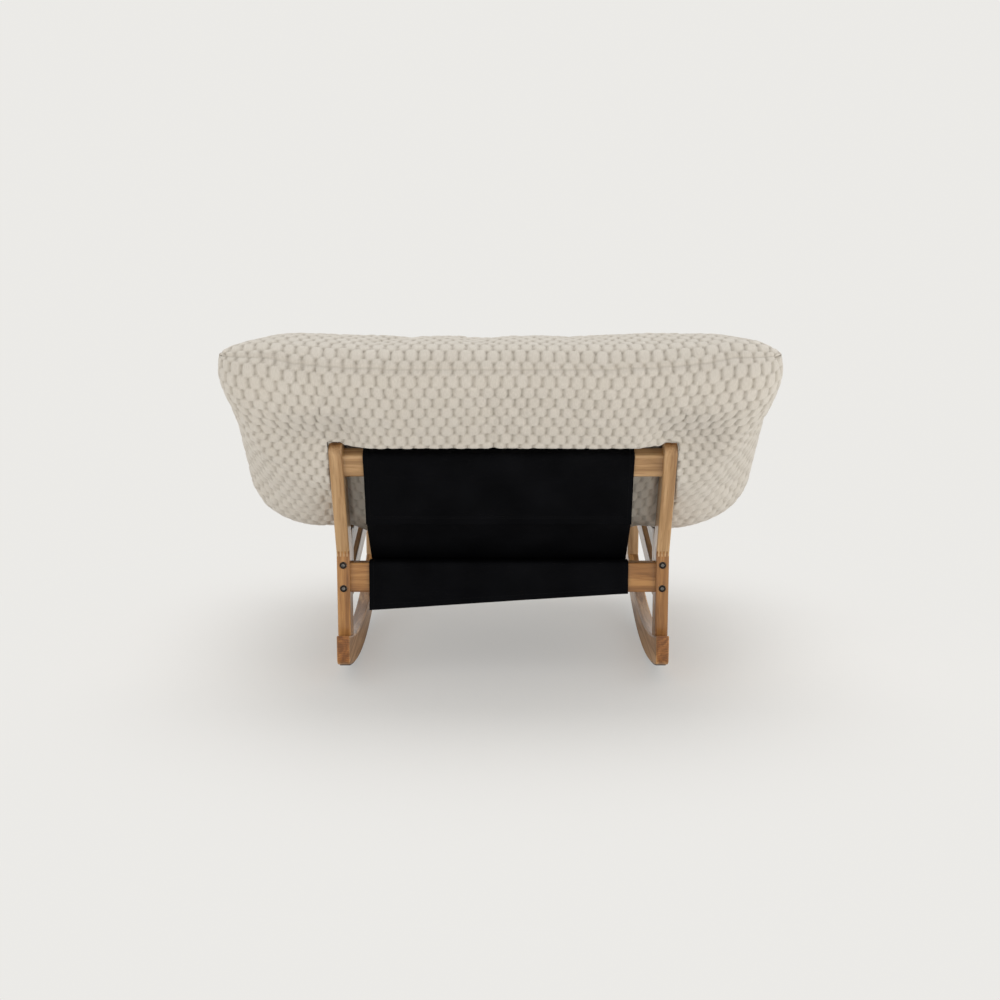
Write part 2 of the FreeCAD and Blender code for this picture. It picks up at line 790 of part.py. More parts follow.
def drilled(shape, holes):
    box = shape.BoundBox
    near = [h for h in holes if box.intersect(h.BoundBox)]
    return shape.cut(near) if near else shape


def build():
    holes = all_holes()
    all_sides = both_sides(holes)
    post = drilled(whole_post(), holes)
    comb = below_bend()
    sided = {
        "rocker": drilled(rocker(), holes),
        "rocker_strip": rocker_strip(),
        "rear_post_lower": post.common(comb),
        "rear_post_upper": post.cut(comb),
        "front_leg": drilled(front_leg(), holes),
        "rear_stile": drilled(stile(post_front_y, rear_stile_front_y), holes),
        "front_stile": drilled(stile(front_stile_rear_y, leg_rear_y), holes),
        "lower_side_rail": drilled(side_rail(lower_rail_z), holes),
        "upper_side_rail": drilled(side_rail(upper_rail_z), holes),
    }
    nodes = {}
    for name, shape in sided.items():
        nodes[name + "_right"] = shape
        nodes[name + "_left"] = mirrored(shape)
    nodes["rear_top_rail"] = drilled(cross_rail(top_rail_corners(), top_rail_round), all_sides)
    nodes["rear_lower_rail"] = drilled(cross_rail(lower_rail_corners(), edge_round), all_sides)
    nodes["front_rail"] = drilled(cross_rail(front_rail_corners(), edge_round), all_sides)
    nodes["stile_bolts"] = stile_bolts()
    nodes["stile_inserts"] = stile_inserts()
    nodes["cross_rail_bolts"] = cross_rail_bolts()
    nodes["cross_rail_barrel_nuts"] = cross_rail_barrel_nuts()
    nodes["cross_rail_dowels"] = cross_rail_dowels()
    nodes["rocker_dowels"] = Part.makeCompound(both_sides(dowels(rocker_dowel_starts(), V(0, 0, 1))))
    nodes["side_rail_dowels"] = Part.makeCompound(both_sides(dowels(side_dowel_starts(), V(0, 1, 0))))
    nodes["seat_sling"] = seat_sling()
    nodes["back_sling"] = back_sling().cut(nodes["seat_sling"])
    nodes.update(bag_pieces())
    return nodes


def main():
    os.makedirs("parts", exist_ok=True)
    for name, shape in build().items():
        print(name, len(shape.Solids), shape.isValid(), round(shape.Volume))
        shape.exportStep("parts/" + name + ".step")


main()
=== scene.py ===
"""Bean bag rocking chair: the looks of its bag, slings, wood and fittings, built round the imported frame.

Metres, in the frame's own axes: +Z up, +Y the way the sitter faces, origin on the floor under the rockers.
"""
import math

import bpy
import numpy as np
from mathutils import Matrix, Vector


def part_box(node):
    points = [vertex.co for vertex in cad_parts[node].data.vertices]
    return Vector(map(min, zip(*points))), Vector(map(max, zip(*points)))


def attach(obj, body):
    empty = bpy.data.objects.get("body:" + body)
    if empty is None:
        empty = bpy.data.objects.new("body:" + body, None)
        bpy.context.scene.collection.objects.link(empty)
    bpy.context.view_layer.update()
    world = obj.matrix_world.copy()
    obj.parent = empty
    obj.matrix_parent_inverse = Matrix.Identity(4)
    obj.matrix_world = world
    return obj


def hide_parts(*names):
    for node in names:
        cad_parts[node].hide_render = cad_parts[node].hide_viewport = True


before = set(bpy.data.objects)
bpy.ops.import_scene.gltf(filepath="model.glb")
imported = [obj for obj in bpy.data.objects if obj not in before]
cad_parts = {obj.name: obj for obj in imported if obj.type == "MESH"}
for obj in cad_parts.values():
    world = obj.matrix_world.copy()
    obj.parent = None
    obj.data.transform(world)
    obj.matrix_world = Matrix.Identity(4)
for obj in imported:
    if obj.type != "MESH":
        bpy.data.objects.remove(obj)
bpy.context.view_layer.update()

# Sizes of the frame, read from its nodes
post_low, post_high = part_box("rear_post_upper_right")
lower_rail_low, lower_rail_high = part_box("rear_lower_rail")
front_rail_low, front_rail_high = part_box("front_rail")
leg_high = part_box("front_leg_right")[1]
sling_low, sling_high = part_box("back_sling")
inner_x, outer_x = post_low.x, post_high.x

# Rear posts and rails
rail_setback = 0.008
post_rear_y = lower_rail_low.y - rail_setback
post_depth = 0.055
post_length = 0.245
post_foot_z = 0.250
post_bend_z = 0.255
post_lean = math.radians(26.3)
cos_lean, sin_lean = math.cos(post_lean), math.sin(post_lean)
top_rail_depth = 0.030
top_rail_height = 0.048
top_rail_along = 0.198
side_rail_top_z = 0.288
side_rail_rise = math.radians(11.0)
# Where the bolt sockets' floors lie, which get a painted glint
socket_middle = 0.0028
socket_half_depth = 0.0032

# Slings
sling_half_width = (sling_high.x - sling_low.x) / 2
sling_middle_x = (sling_high.x + sling_low.x) / 2
cloth_thickness = 0.0018
cloth_lift = 0.0012
cloth_room = 0.003
back_hem = (-0.302, 0.331)
back_hem_tail = 0.010
back_hem_behind = 0.0026
crease = (-0.184, 0.224)
front_edge = (front_rail_low.y, front_rail_high.z)
front_hem_run = 0.090
flap_bottom_z = 0.160
flap_slant = 0.064
flap_away = 0.006
flap_sway = 0.0025
flap_wave = 9.0
flap_wave_start = 0.7
flap_gap = 0.003
flap_bend_rise = 0.004
rail_bend = 0.006
edge_bend = 0.01
gentle_bend = 0.02
crease_bend = 0.03
path_step = 0.002
sling_columns = 121
back_sling_rows = 150
seat_sling_rows = 260
hem_width = 0.012
hem_extra = 0.8
hem_fade = 0.002
stitch_inset = 0.010
stitch_step = 0.006
stitch_length = 0.0042
thread_width = 0.0007
thread_rise = 0.0003

# Stitched rows, by their run from a sling's start or, below 0, from its end
back_stitch_runs = (0.013, 0.017)
seat_stitch_runs = (0.010, -0.004, -0.008)

# Slings' ripples: height, size of a cell and seed
back_ripple = (0.0010, (0.035, 0.14), 21.0)
seat_ripple = (0.0012, (0.04, 0.12), 33.0)

# Bag's section: (y, z) points and (y, z, radius) corners
fleece_rise = 0.006
bag_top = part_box("bag_top_cover")[1].z - fleece_rise
bag_rear_y = -0.500
bag_front_y = 0.567
bag_rear_low_z = 0.600
bag_rear_round = 0.056
bag_belly = (-0.201, 0.294)
belly_round = 0.09
waist_round = 0.06
waist_part = 0.42
hip_part = 0.71
back_swell = 0.020
sag_waist = (-0.374, 0.460)
sag_hip = (-0.310, 0.330)
sag_from = 0.185
sag_to = 0.365
apron = (leg_high.y, 0.386, 0.100)
nose_bottom = (bag_front_y, 0.322, 0.070)
nose_top = (bag_front_y, 0.532, 0.070)
seat_crown = (0.275, 0.566, 0.220)
seat_fold = (-0.049, 0.432, 0.120)
crest = (-0.284, bag_top, 0.100)
ring_step = 0.003
ring_points = 900
ring_softness = 0.012
ring_round_share = 0.72

# Bag's width, its rims and its seam. Rims' places and reaches are shares of a panel's length
slump_place = 0.31
slump_reach = 0.11
rear_rim_place = 0.09
rear_rim_reach = 0.07
seat_rim_from = 0.15
seat_rim_reach = 0.2
waist_reach = 0.2
bag_half_width = 0.499
bag_waist_half_width = 0.487
bag_shift_x = -0.005
section_half_width = 0.42
seam_half_width = 0.44
bag_rim_share = 0.75
bag_rim_round = 0.068
bag_lower_round = 0.092
bag_right_slump = 0.045
upper_rim_round = 0.085
upper_rear_round = 0.025
upper_seat_round = 0.013
corner_pull = 0.060
corner_pull_reach = 0.12
corner_tuck = 0.009
corner_tuck_reach = 0.040
seam_middle_z = 0.629
seam_corner_rise = 0.034
seam_front_z = 0.436
rear_seam_search = 0.1
front_seam_search = 0.09
panel_width = 1.134
panel_length = 1.42
coarse_step = 0.0125
fine_step = 0.0032

# Room between the bag and the frame
bag_rest_z = 0.474
bag_clearance = 0.006
over_post_z = 0.487
post_end_gap = 0.005
post_side_gap = 0.0008
post_wall_half = 0.0003
sling_side_gap = 0.004
dent_outer_reach = 0.120
dent_inner_reach = 0.060
dent_fade = 0.075
dent_forward = 0.009
dent_rounds = 3
dent_softness = 8
hard_rounds = 5

# Bag's cloth simulation
swell_room = 0.010
swell_cap = 0.016
swell_pressure = 4.0
swell_slack = 0.015
swell_quality = 6
swell_frames = 20
fold_blur = 5
fold_share = 0.5
fold_inset = 0.090

# Fleece
bubble_pitch = 0.0236
bubble_row = 0.0232
bubble_height = 0.0036
bubble_least = 0.85
bubble_spread = 0.30
bubble_groove = 0.0050
bubble_side_gap = 0.0013
bubble_wander = (0.10, 0.12)
cloth_drift = (0.005, 0.007)
drift_cells = ((0.16, 0.16), (0.21, 0.19))
# Painted shade on the fleece: grooves darken (upright ones most), as do the pits between bubbles and the seam
groove_painted_shade = (0.05, 0.36)
pit_painted_shade = 0.50
seam_painted_shade = 0.25
seam_painted_shade_reach = 0.004
groove_blend = 0.0015
flat_groove_share = 0.40
pit_depth = 0.0012
pit_reach = 0.0040
pressed_flat = 0.65
pressed_depth = 0.008
seam_recess = 0.0025
seam_spread = 0.0035
seam_low_share = 0.4
seam_low_reach = 0.006
pleat_depth = 0.007
pleat_place = 0.030
pleat_slant = 0.25
pleat_half_width = 0.006
pleat_length = 0.045
lump_height = 0.006
lump_cells = ((0.20, 0.17), (0.09, 0.08))
small_lump_share = 0.5
lump_seam_reach = 0.08
lump_look = 0.03
lump_clearance = 0.004
lump_fade = 0.02

# Two turns and a stretch that scatter whole numbers into even shares
noise_scatter = (127.1, 311.7, 43758.5453)
noise_seed_turn = 74.7
tone_scatter = (12.9898, 78.233, 43758.5453)
tall_scatter = (39.346, 11.135, 24634.6345)

# A length past all others, one too small to matter, and a bell curve's reach in spreads
far = 9.0
tiny = 1e-6
bell_reach = 3

# A panel's four edges, as grid indices
panel_edges = ((0, slice(None)), (-1, slice(None)), (slice(None), 0), (slice(None), -1))

# Camera
camera_place = (-0.0056, post_rear_y - 2.726, 0.843)
camera_pitch = math.radians(10.05)
camera_lens = 52.2
camera_sensor = 36.0

# Light and background
warm_white = (1.0, 0.985, 0.965)
soft_white = (1.0, 0.99, 0.98)
plain_white = (1.0, 0.995, 0.985)
world_strength = 0.62
chair_back = (0.0, -0.2, 0.4)
chair_middle = (0.0, 0.0, 0.4)
backdrop_colour = (0.835, 0.825, 0.800, 1.0)
floor_reach = 40.0
floor_fade = (0.40, 1.30)
# Painted light: even under the chair the floor glows with the backdrop colour by this share, which lightens
# the chair's shadow
floor_least_glow = 0.40


# Helpers for outlines in the YZ plane
def along_post(along, forward):
    """A (y, z) point in the leaning post's own directions, from the back of the bend."""
    y = post_rear_y - along * sin_lean + forward * cos_lean
    z = post_bend_z + along * cos_lean + forward * sin_lean
    return y, z


def rounded_path(corners, step, closed=False, most=0.48):
    """Points along (y, z, radius) corners with tangent arcs at about this step, each using at most this share
    of the straight lines beside it."""
    corners = [np.array(c, float) for c in corners]
    count = len(corners)
    points = []
    for i, corner in enumerate(corners):
        here, radius = corner[:2], corner[2]
        inside = closed or 0 < i < count - 1
        if not inside or radius <= 0:
            points.append(here)
            continue
        before = corners[i - 1][:2] - here
        after = corners[(i + 1) % count][:2] - here
        before_length, after_length = np.linalg.norm(before), np.linalg.norm(after)
        before, after = before / before_length, after / after_length
        half = math.acos(float(np.clip(before @ after, -1, 1))) / 2
        cut = min(radius / math.tan(half), most * before_length, most * after_length)
        radius = cut * math.tan(half)
        inward = before + after
        if np.linalg.norm(inward) < tiny:
            points.append(here)
            continue
        centre = here + inward / np.linalg.norm(inward) * radius / math.sin(half)
        start = here + before * cut - centre
        end = here + after * cut - centre
        turn = math.pi - 2 * half
        steps = max(int(radius * turn / step), 2)
        for k in range(steps + 1):
            t = k / steps
            arm = start * math.sin((1 - t) * turn) + end * math.sin(t * turn)
            points.append(centre + arm / math.sin(turn))
    points = np.array(points)
    return np.vstack([points, points[:1]]) if closed else points


def lengths_along(points):
    """Running length along a row of points, along the first axis."""
    steps = np.linalg.norm(np.diff(points, axis=0), axis=-1)
    return np.concatenate([np.zeros((1,) + steps.shape[1:]), np.cumsum(steps, axis=0)], axis=0)


def runs_along(grid):
    """Running length along each row of a grid, from its rear end."""
    return lengths_along(grid.transpose(1, 0, 2)).T


def at_runs(wanted, run, values):
    """A row's values where its running length is as wanted."""
    return np.stack([np.interp(wanted, run, values[:, k]) for k in range(values.shape[1])], axis=1)


def resampled(points, count):
    """This many points, evenly spaced along a row of points."""
    run = lengths_along(points)
    return at_runs(np.linspace(0, run[-1], count), run, points)


def bell(t):
    """A bell curve that is 1 at 0."""
    return np.exp(-t ** 2)


def bell_weights(offsets):
    """Weights that add up to 1, from a bell curve at these offsets."""
    weights = np.exp(-0.5 * offsets ** 2)
    return weights / weights.sum()


def softened(ring, spread):
    """A closed ring of evenly spaced points with its turns softened over this length."""
    step = lengths_along(ring)[-1] / (len(ring) - 1)
    reach = int(bell_reach * spread / step)
    weights = bell_weights(np.arange(-reach, reach + 1) * step / spread)
    body = ring[:-1]
    padded = np.vstack([body[-reach:], body, body[:reach]])
    soft = np.stack([np.convolve(padded[:, k], weights, "valid") for k in range(2)], axis=1)
    return np.vstack([soft, soft[:1]])


def eased(t):
    """A share from 0 to 1 with level ends."""
    t = np.clip(t, 0.0, 1.0)
    return t * t * (3 - 2 * t)


# Smooth random fields that give the same result each run
def scatter(a, b, start, numbers):
    """An even share from 0 to 1 that jumps about with the whole numbers a and b."""
    wave = np.sin(a * numbers[0] + b * numbers[1] + start) * numbers[2]
    return wave - np.floor(wave)


def value_noise(u, v, cell, seed):
    """Smooth noise from 0 to 1 over a plane, with cells of this size."""
    u, v = u / cell[0], v / cell[1]
    iu, iv = np.floor(u), np.floor(v)
    fu, fv = eased(u - iu), eased(v - iv)

    def corner(a, b):
        return scatter(a, b, seed * noise_seed_turn, noise_scatter)

    low = corner(iu, iv) * (1 - fu) + corner(iu + 1, iv) * fu
    high = corner(iu, iv + 1) * (1 - fu) + corner(iu + 1, iv + 1) * fu
    return low * (1 - fv) + high * fv


# Bag: two panels sewn along one seam that runs round the bag
def down_back(part):
    """(y, z) this part of the way down the back's underside, a little proud of a straight line."""
    swell = back_swell * part * (1 - part)
    y = bag_rear_y + (bag_belly[0] - bag_rear_y) * part - swell
    z = bag_rear_low_z + (bag_belly[1] - bag_rear_low_z) * part - swell
    return y, z


def bag_ring(x):
    """Closed (y, z) ring of the bag's section at x, before its sides are drawn in."""
    share = float(eased((abs(x) - sag_from) / (sag_to - sag_from)))
    sagging = [(*sag_waist, waist_round), (*sag_hip, waist_round), (*crease, belly_round)]
    hanging = [(*down_back(part), waist_round) for part in (waist_part, hip_part)]
    hanging.append((*bag_belly, belly_round))
    between = [tuple(p + (q - p) * share for p, q in zip(a, b)) for a, b in zip(sagging, hanging)]
    lower = [(bag_rear_y, bag_rear_low_z, bag_rear_round), *between, apron, nose_bottom]
    upper = [nose_top, seat_crown, seat_fold, crest, (bag_rear_y, bag_top, bag_rear_round)]
    ring = rounded_path(lower + upper, ring_step, closed=True, most=ring_round_share)
    return softened(resampled(ring, ring_points), ring_softness)


def split_at_seam(ring, x):
    """(lower, upper) rows of points of a ring, both from the rear seam to the front one."""
    body = ring[:-1]
    reach = min(abs(x) / bag_half_width, 1.0)
    rear_z = seam_middle_z + seam_corner_rise * reach ** 4
    at_rear = body[:, 0] < bag_rear_y + rear_seam_search
    at_front = body[:, 0] > bag_front_y - front_seam_search
    start = int(np.argmin(np.where(at_rear, np.abs(body[:, 1] - rear_z), far)))
    end = int(np.argmin(np.where(at_front, np.abs(body[:, 1] - seam_front_z), far)))
    turned = np.roll(body, -start, axis=0)
    end = (end - start) % len(body)
    lower = turned[:end + 1]
    upper = np.vstack([turned[end:], turned[:1]])[::-1]
    return lower, upper


def panel_grids(across, along):
    """(lower, upper) grids of points, across by along, of the two panels."""
    runs = np.linspace(0, 1, along)
    lower_grid = np.zeros((across, along, 3))
    upper_grid = np.zeros((across, along, 3))
    lower_bump = bell((runs - slump_place) / slump_reach)
    upper_rim = upper_rim_round + upper_rear_round * bell((runs - rear_rim_place) / rear_rim_reach)
    upper_rim = upper_rim + upper_seat_round * eased((runs - seat_rim_from) / seat_rim_reach)
    edge = bag_half_width - (bag_half_width - bag_waist_half_width) * eased(runs / waist_reach)
    edge = edge - corner_tuck * bell(runs / corner_tuck_reach)
    end_pull = bell(runs / corner_pull_reach) - bell((1 - runs) / corner_pull_reach)
    for i, share in enumerate(np.linspace(-1, 1, across)):
        side = math.copysign(1.0, share)
        reach = abs(share)
        turn = max(reach - bag_rim_share, 0.0) / (1 - bag_rim_share) * math.pi / 2
        full = math.cos(turn)
        flat = min(reach / bag_rim_share, 1.0)
        lower, upper = split_at_seam(bag_ring(flat * section_half_width), flat * seam_half_width)
        lower, upper = resampled(lower, along), resampled(upper, along)
        middle = (lower + upper) / 2
        pull = corner_pull * (1 - full) * end_pull
        slump = bag_right_slump if share > 0 else 0.0
        lower_rim = bag_rim_round + (bag_lower_round + slump) * lower_bump
        for grid, row, rim in ((lower_grid, lower, lower_rim), (upper_grid, upper, upper_rim)):
            grid[i, :, 0] = bag_shift_x + side * ((edge - rim) * flat + rim * math.sin(turn))
            grid[i, :, 1:] = middle + (row - middle) * full
            grid[i, :, 1] += pull
    for edge_slice in panel_edges:
        shared = (lower_grid[edge_slice] + upper_grid[edge_slice]) / 2
        lower_grid[edge_slice] = shared
        upper_grid[edge_slice] = shared
    return lower_grid, upper_grid


def blurred(values, spread):
    """A grid of vectors smoothed over this many cells."""
    reach = bell_reach * spread
    weights = bell_weights(np.arange(-reach, reach + 1) / spread)
    for axis in (0, 1):
        pad = [(0, 0)] * 3
        pad[axis] = (reach, reach)
        padded = np.pad(values, pad, "reflect", reflect_type="odd")
        values = np.apply_along_axis(lambda row: np.convolve(row, weights, "valid"), axis, padded)
    return values


def blown_up(lower, upper):
    """The two panels' grids after a cloth simulation has blown them up like a filled bag."""
    across, along = lower.shape[:2]
    mesh = welded_mesh("bag_start", lower, upper, {})
    piece = new_object("bag_start", mesh)
    scene = bpy.context.scene
    cloth = piece.modifiers.new("cloth", "CLOTH")
    cloth.point_cache.frame_start = 1
    cloth.point_cache.frame_end = swell_frames
    cloth.collision_settings.use_collision = False
    settings = cloth.settings
    settings.quality = swell_quality
    settings.use_pressure = True
    settings.uniform_pressure_force = swell_pressure
    settings.effector_weights.gravity = 0.0
    settings.shrink_min = -swell_slack
    for step in range(1, swell_frames + 1):
        scene.frame_set(step)
    result = piece.evaluated_get(bpy.context.evaluated_depsgraph_get()).data
    points = np.zeros(len(mesh.vertices) * 3)
    result.vertices.foreach_get("co", points)
    points = points.reshape(-1, 3)
    scene.frame_set(1)
    bpy.data.objects.remove(piece)
    bpy.data.meshes.remove(mesh)
    count = across * along
    new_lower = points[:count].reshape(across, along, 3)
    new_upper = new_lower.copy()
    new_upper[1:-1, 1:-1] = points[count:].reshape(across - 2, along - 2, 3)
    return new_lower, new_upper


def swollen(lower, upper):
    """The two panels with the small folds of cloth that is simulated from a slightly smaller bag."""
    small_lower = lower - swell_room * grid_normals(lower, -1)
    small_upper = upper - swell_room * grid_normals(upper, 1)
    for edge in panel_edges:
        small_lower[edge] = lower[edge]
        small_upper[edge] = lower[edge]
    new_lower, new_upper = blown_up(small_lower, small_upper)
    to_side, to_end = [np.minimum(np.arange(n), np.arange(n)[::-1]) for n in lower.shape[:2]]
    free = eased(np.minimum.outer(to_side, to_end) * coarse_step / fold_inset)[..., None]

    def folded(whole, small, new):
        """A panel's own form with the simulated one's folds, up to a cap and away from the seam."""
        move = new - small
        move = move - blurred(move, fold_blur)
        length = np.linalg.norm(move, axis=-1, keepdims=True)
        return whole + fold_share * free * move * np.minimum(1.0, swell_cap / np.maximum(length, tiny))

    return folded(lower, small_lower, new_lower), folded(upper, small_upper, new_upper)


# Room that the frame takes behind and under the bag. A plane is (y, z) of a point and of its outward normal
def plane_through(start, end):
    """The plane through two (y, z) points, which faces up."""
    ahead = np.array(end) - np.array(start)
    ahead /= np.linalg.norm(ahead)
    return *start, -ahead[1], ahead[0]


def frame_rooms(points):
    """The frame's rooms: how far each point lies inside a room's width, and the planes round it."""
    x = np.abs(points[..., 0])
    at_post = np.minimum(x - (inner_x - post_side_gap), (outer_x + post_side_gap) - x)
    in_frame = (inner_x + post_side_gap) - x
    on_sling = sling_half_width + sling_side_gap - np.abs(points[..., 0] - sling_middle_x)
    post_face = (*along_post(0, post_depth), cos_lean, sin_lean)
    post_end = (*along_post(post_length + post_end_gap, 0.0), -sin_lean, cos_lean)
    post_foot = (0.0, post_foot_z, 0.0, -1.0)
    rail_front = along_post(top_rail_along, rail_setback + top_rail_depth + cloth_room)
    rail_face = (*rail_front, cos_lean, sin_lean)
    bag_rest = (0.0, bag_rest_z, 0.0, 1.0)
    back_face = plane_through(back_hem, crease)
    seat_face = plane_through(crease, front_edge)
    rail_way = (-math.sin(side_rail_rise), math.cos(side_rail_rise))
    side_rail = (post_rear_y + post_depth, side_rail_top_z, *rail_way)
    leg_top = (0.0, leg_high.z, 0.0, 1.0)
    leg_front = (leg_high.y, 0.0, 1.0, 0.0)
    front_rail_top = (0.0, front_rail_high.z + cloth_room, 0.0, 1.0)
    front_rail_face = (front_rail_high.y + cloth_room, 0.0, 1.0, 0.0)
    front_rail_back = (front_rail_low.y - cloth_room, 0.0, -1.0, 0.0)
    return [
        (in_frame, [rail_face, bag_rest]),
        (on_sling, [back_face, bag_rest]),
        (on_sling, [seat_face, front_rail_face]),
        (in_frame, [front_rail_top, front_rail_face, front_rail_back]),
        (at_post, [post_face, post_end, post_foot]),
        (at_post, [side_rail, leg_top, leg_front]),
    ]


def room_depth(points, clearance):
    """How far each point lies inside the frame's rooms, and the (y, z) way out of them."""
    y, z = points[..., 1], points[..., 2]
    best = np.zeros(y.shape)
    best_way = np.zeros(y.shape + (2,))
    for width, planes in frame_rooms(points):
        depth = np.full(y.shape, far)
        way = np.zeros(y.shape + (2,))
        for plane_y, plane_z, normal_y, normal_z in planes:
            inside = clearance - ((y - plane_y) * normal_y + (z - plane_z) * normal_z)
            nearer = inside < depth
            depth = np.where(nearer, inside, depth)
            way[nearer] = (normal_y, normal_z)
        deeper = (width > 0) & (depth > best)
        best = np.where(deeper, depth, best)
        best_way[deeper] = way[deeper]
    return best, best_way


def drawn_to_posts(grid):
    """A panel's grid drawn forwards round the post tops, where they press into the bag."""
    x, y, z = np.abs(grid[..., 0]), grid[..., 1], grid[..., 2]
    beside = (1 - eased((x - outer_x) / dent_outer_reach)) * (1 - eased((inner_x - x) / dent_inner_reach))
    below = 1 - eased((z - over_post_z) / dent_fade)
    face_y = post_rear_y - (z - post_bend_z) * math.tan(post_lean) + dent_forward
    moved = grid.copy()
    moved[..., 1] += np.maximum(face_y - y, 0.0) * beside * below
    return moved


def squared_to_posts(grid):
    """A panel's grid with the two columns beside each post moved to its side, for a straight wall there."""
    wall = outer_x + post_side_gap
    away = np.abs(grid[..., 0]) - wall
    side = np.sign(grid[..., 0])
    moved = grid.copy()
    for inward, half in ((0.0, post_wall_half), (fine_step, -post_wall_half)):
        beside = np.abs(away + inward) < fine_step / 2
        moved[..., 0] = np.where(beside, side * (wall + half), moved[..., 0])
    return moved


def pushed_out(grid):
    """A panel's grid moved out of the frame's rooms, with the dents spread softly between the side frames."""
    moved = grid.copy()
    between = (np.abs(grid[..., 0]) < outer_x + post_side_gap)[..., None]
    for _ in range(dent_rounds):
        depth, way = room_depth(moved, bag_clearance)
        shift = depth[..., None] * way
        spread = shift.copy()
        for _ in range(dent_softness):
            padded = np.pad(spread, ((1, 1), (1, 1), (0, 0)), "edge")
            near = padded[2:, 1:-1] + padded[:-2, 1:-1] + padded[1:-1, 2:] + padded[1:-1, :-2]
            spread = np.where(np.abs(shift) > np.abs(near / 4), shift, near / 4) * between
        moved[..., 1:] += spread
    for _ in range(hard_rounds):
        depth, way = room_depth(moved, bag_clearance)
        moved[..., 1:] += depth[..., None] * way
    return moved


# Finer grids and their cloth coordinates
def finer(grid, across, along):
    """A grid of points made finer by smooth cubic curves through its points."""
    def along_first(points, count):
        place = np.linspace(0, len(points) - 1, count)
        i = np.clip(np.floor(place).astype(int), 0, len(points) - 2)
        t = (place - i)[:, None, None]
        ends = np.concatenate([2 * points[:1] - points[1:2], points, 2 * points[-1:] - points[-2:-1]])
        a, b, c, d = ends[i], ends[i + 1], ends[i + 2], ends[i + 3]
        return b + 0.5 * t * (c - a + t * (2 * a - 5 * b + 4 * c - d + t * (3 * (b - c) + d - a)))

    half = along_first(grid, across)
    return along_first(half.transpose(1, 0, 2), along).transpose(1, 0, 2)


def grid_normals(grid, sign):
    """Unit normals of a grid; sign picks the outside."""
    normal = np.cross(np.gradient(grid, axis=0), np.gradient(grid, axis=1)) * sign
    length = np.linalg.norm(normal, axis=-1, keepdims=True)
    return normal / np.maximum(length, 1e-12)


def cloth_coordinates(grid):
    """(u, v) lengths on the cloth: across from the middle, and along the middle from the rear seam."""
    middle = grid.shape[0] // 2
    u = lengths_along(grid)
    u = u - u[middle:middle + 1]
    v = np.tile(lengths_along(grid[middle]), (len(grid), 1))
    return u, v


def bubbles(u, v, seed):
    """Distances to the two nearest grooves between staggered bubbles, how upright the grooves near are, and
    two shares that differ from bubble to bubble."""
    u = u + cloth_drift[0] * (value_noise(u, v, drift_cells[0], seed) - 0.5)
    v = v + cloth_drift[1] * (value_noise(u, v, drift_cells[1], seed + 3) - 0.5)
    row = np.round(v / bubble_row)
    near = []
    nearest = np.full(u.shape, far)
    own = np.zeros(u.shape + (4,))
    for step_v in (-2, -1, 0, 1, 2):
        j = row + step_v
        stagger = 0.5 * np.mod(j, 2)
        column = np.round(u / bubble_pitch - stagger)
        for step_u in (-1, 0, 1):
            i = column + step_u
            tone = scatter(i, j, seed, tone_scatter)
            tall = scatter(i, j, seed, tall_scatter)
            centre_u = (i + stagger + bubble_wander[0] * (tone - 0.5)) * bubble_pitch
            centre_v = (j + bubble_wander[1] * (tall - 0.5)) * bubble_row
            away = (u - centre_u) ** 2 + (v - centre_v) ** 2
            near.append((centre_u, centre_v, away))
            closer = away < nearest
            nearest = np.where(closer, away, nearest)
            own = np.where(closer[..., None], np.stack([centre_u, centre_v, tone, tall], axis=-1), own)
    first = np.full(u.shape, far)
    second = np.full(u.shape, far)
    upright = np.zeros(u.shape)
    weights = np.full(u.shape, 1e-9)
    for centre_u, centre_v, away in near:
        du, dv = centre_u - own[..., 0], centre_v - own[..., 1]
        apart = np.sqrt(du ** 2 + dv ** 2)
        beside = (du / np.maximum(apart, tiny)) ** 4
        border = (away - nearest) / (2 * np.maximum(apart, tiny)) - bubble_side_gap * beside
        border = np.where(apart > tiny, border, far)
        second = np.minimum(second, np.maximum(first, border))
        weight = np.exp(-np.maximum(border, 0.0) / groove_blend)
        upright += weight * beside
        weights += weight
        first = np.minimum(first, border)
    return np.maximum(first, 0.0), np.maximum(second, 0.0), upright / weights, own[..., 2], own[..., 3]


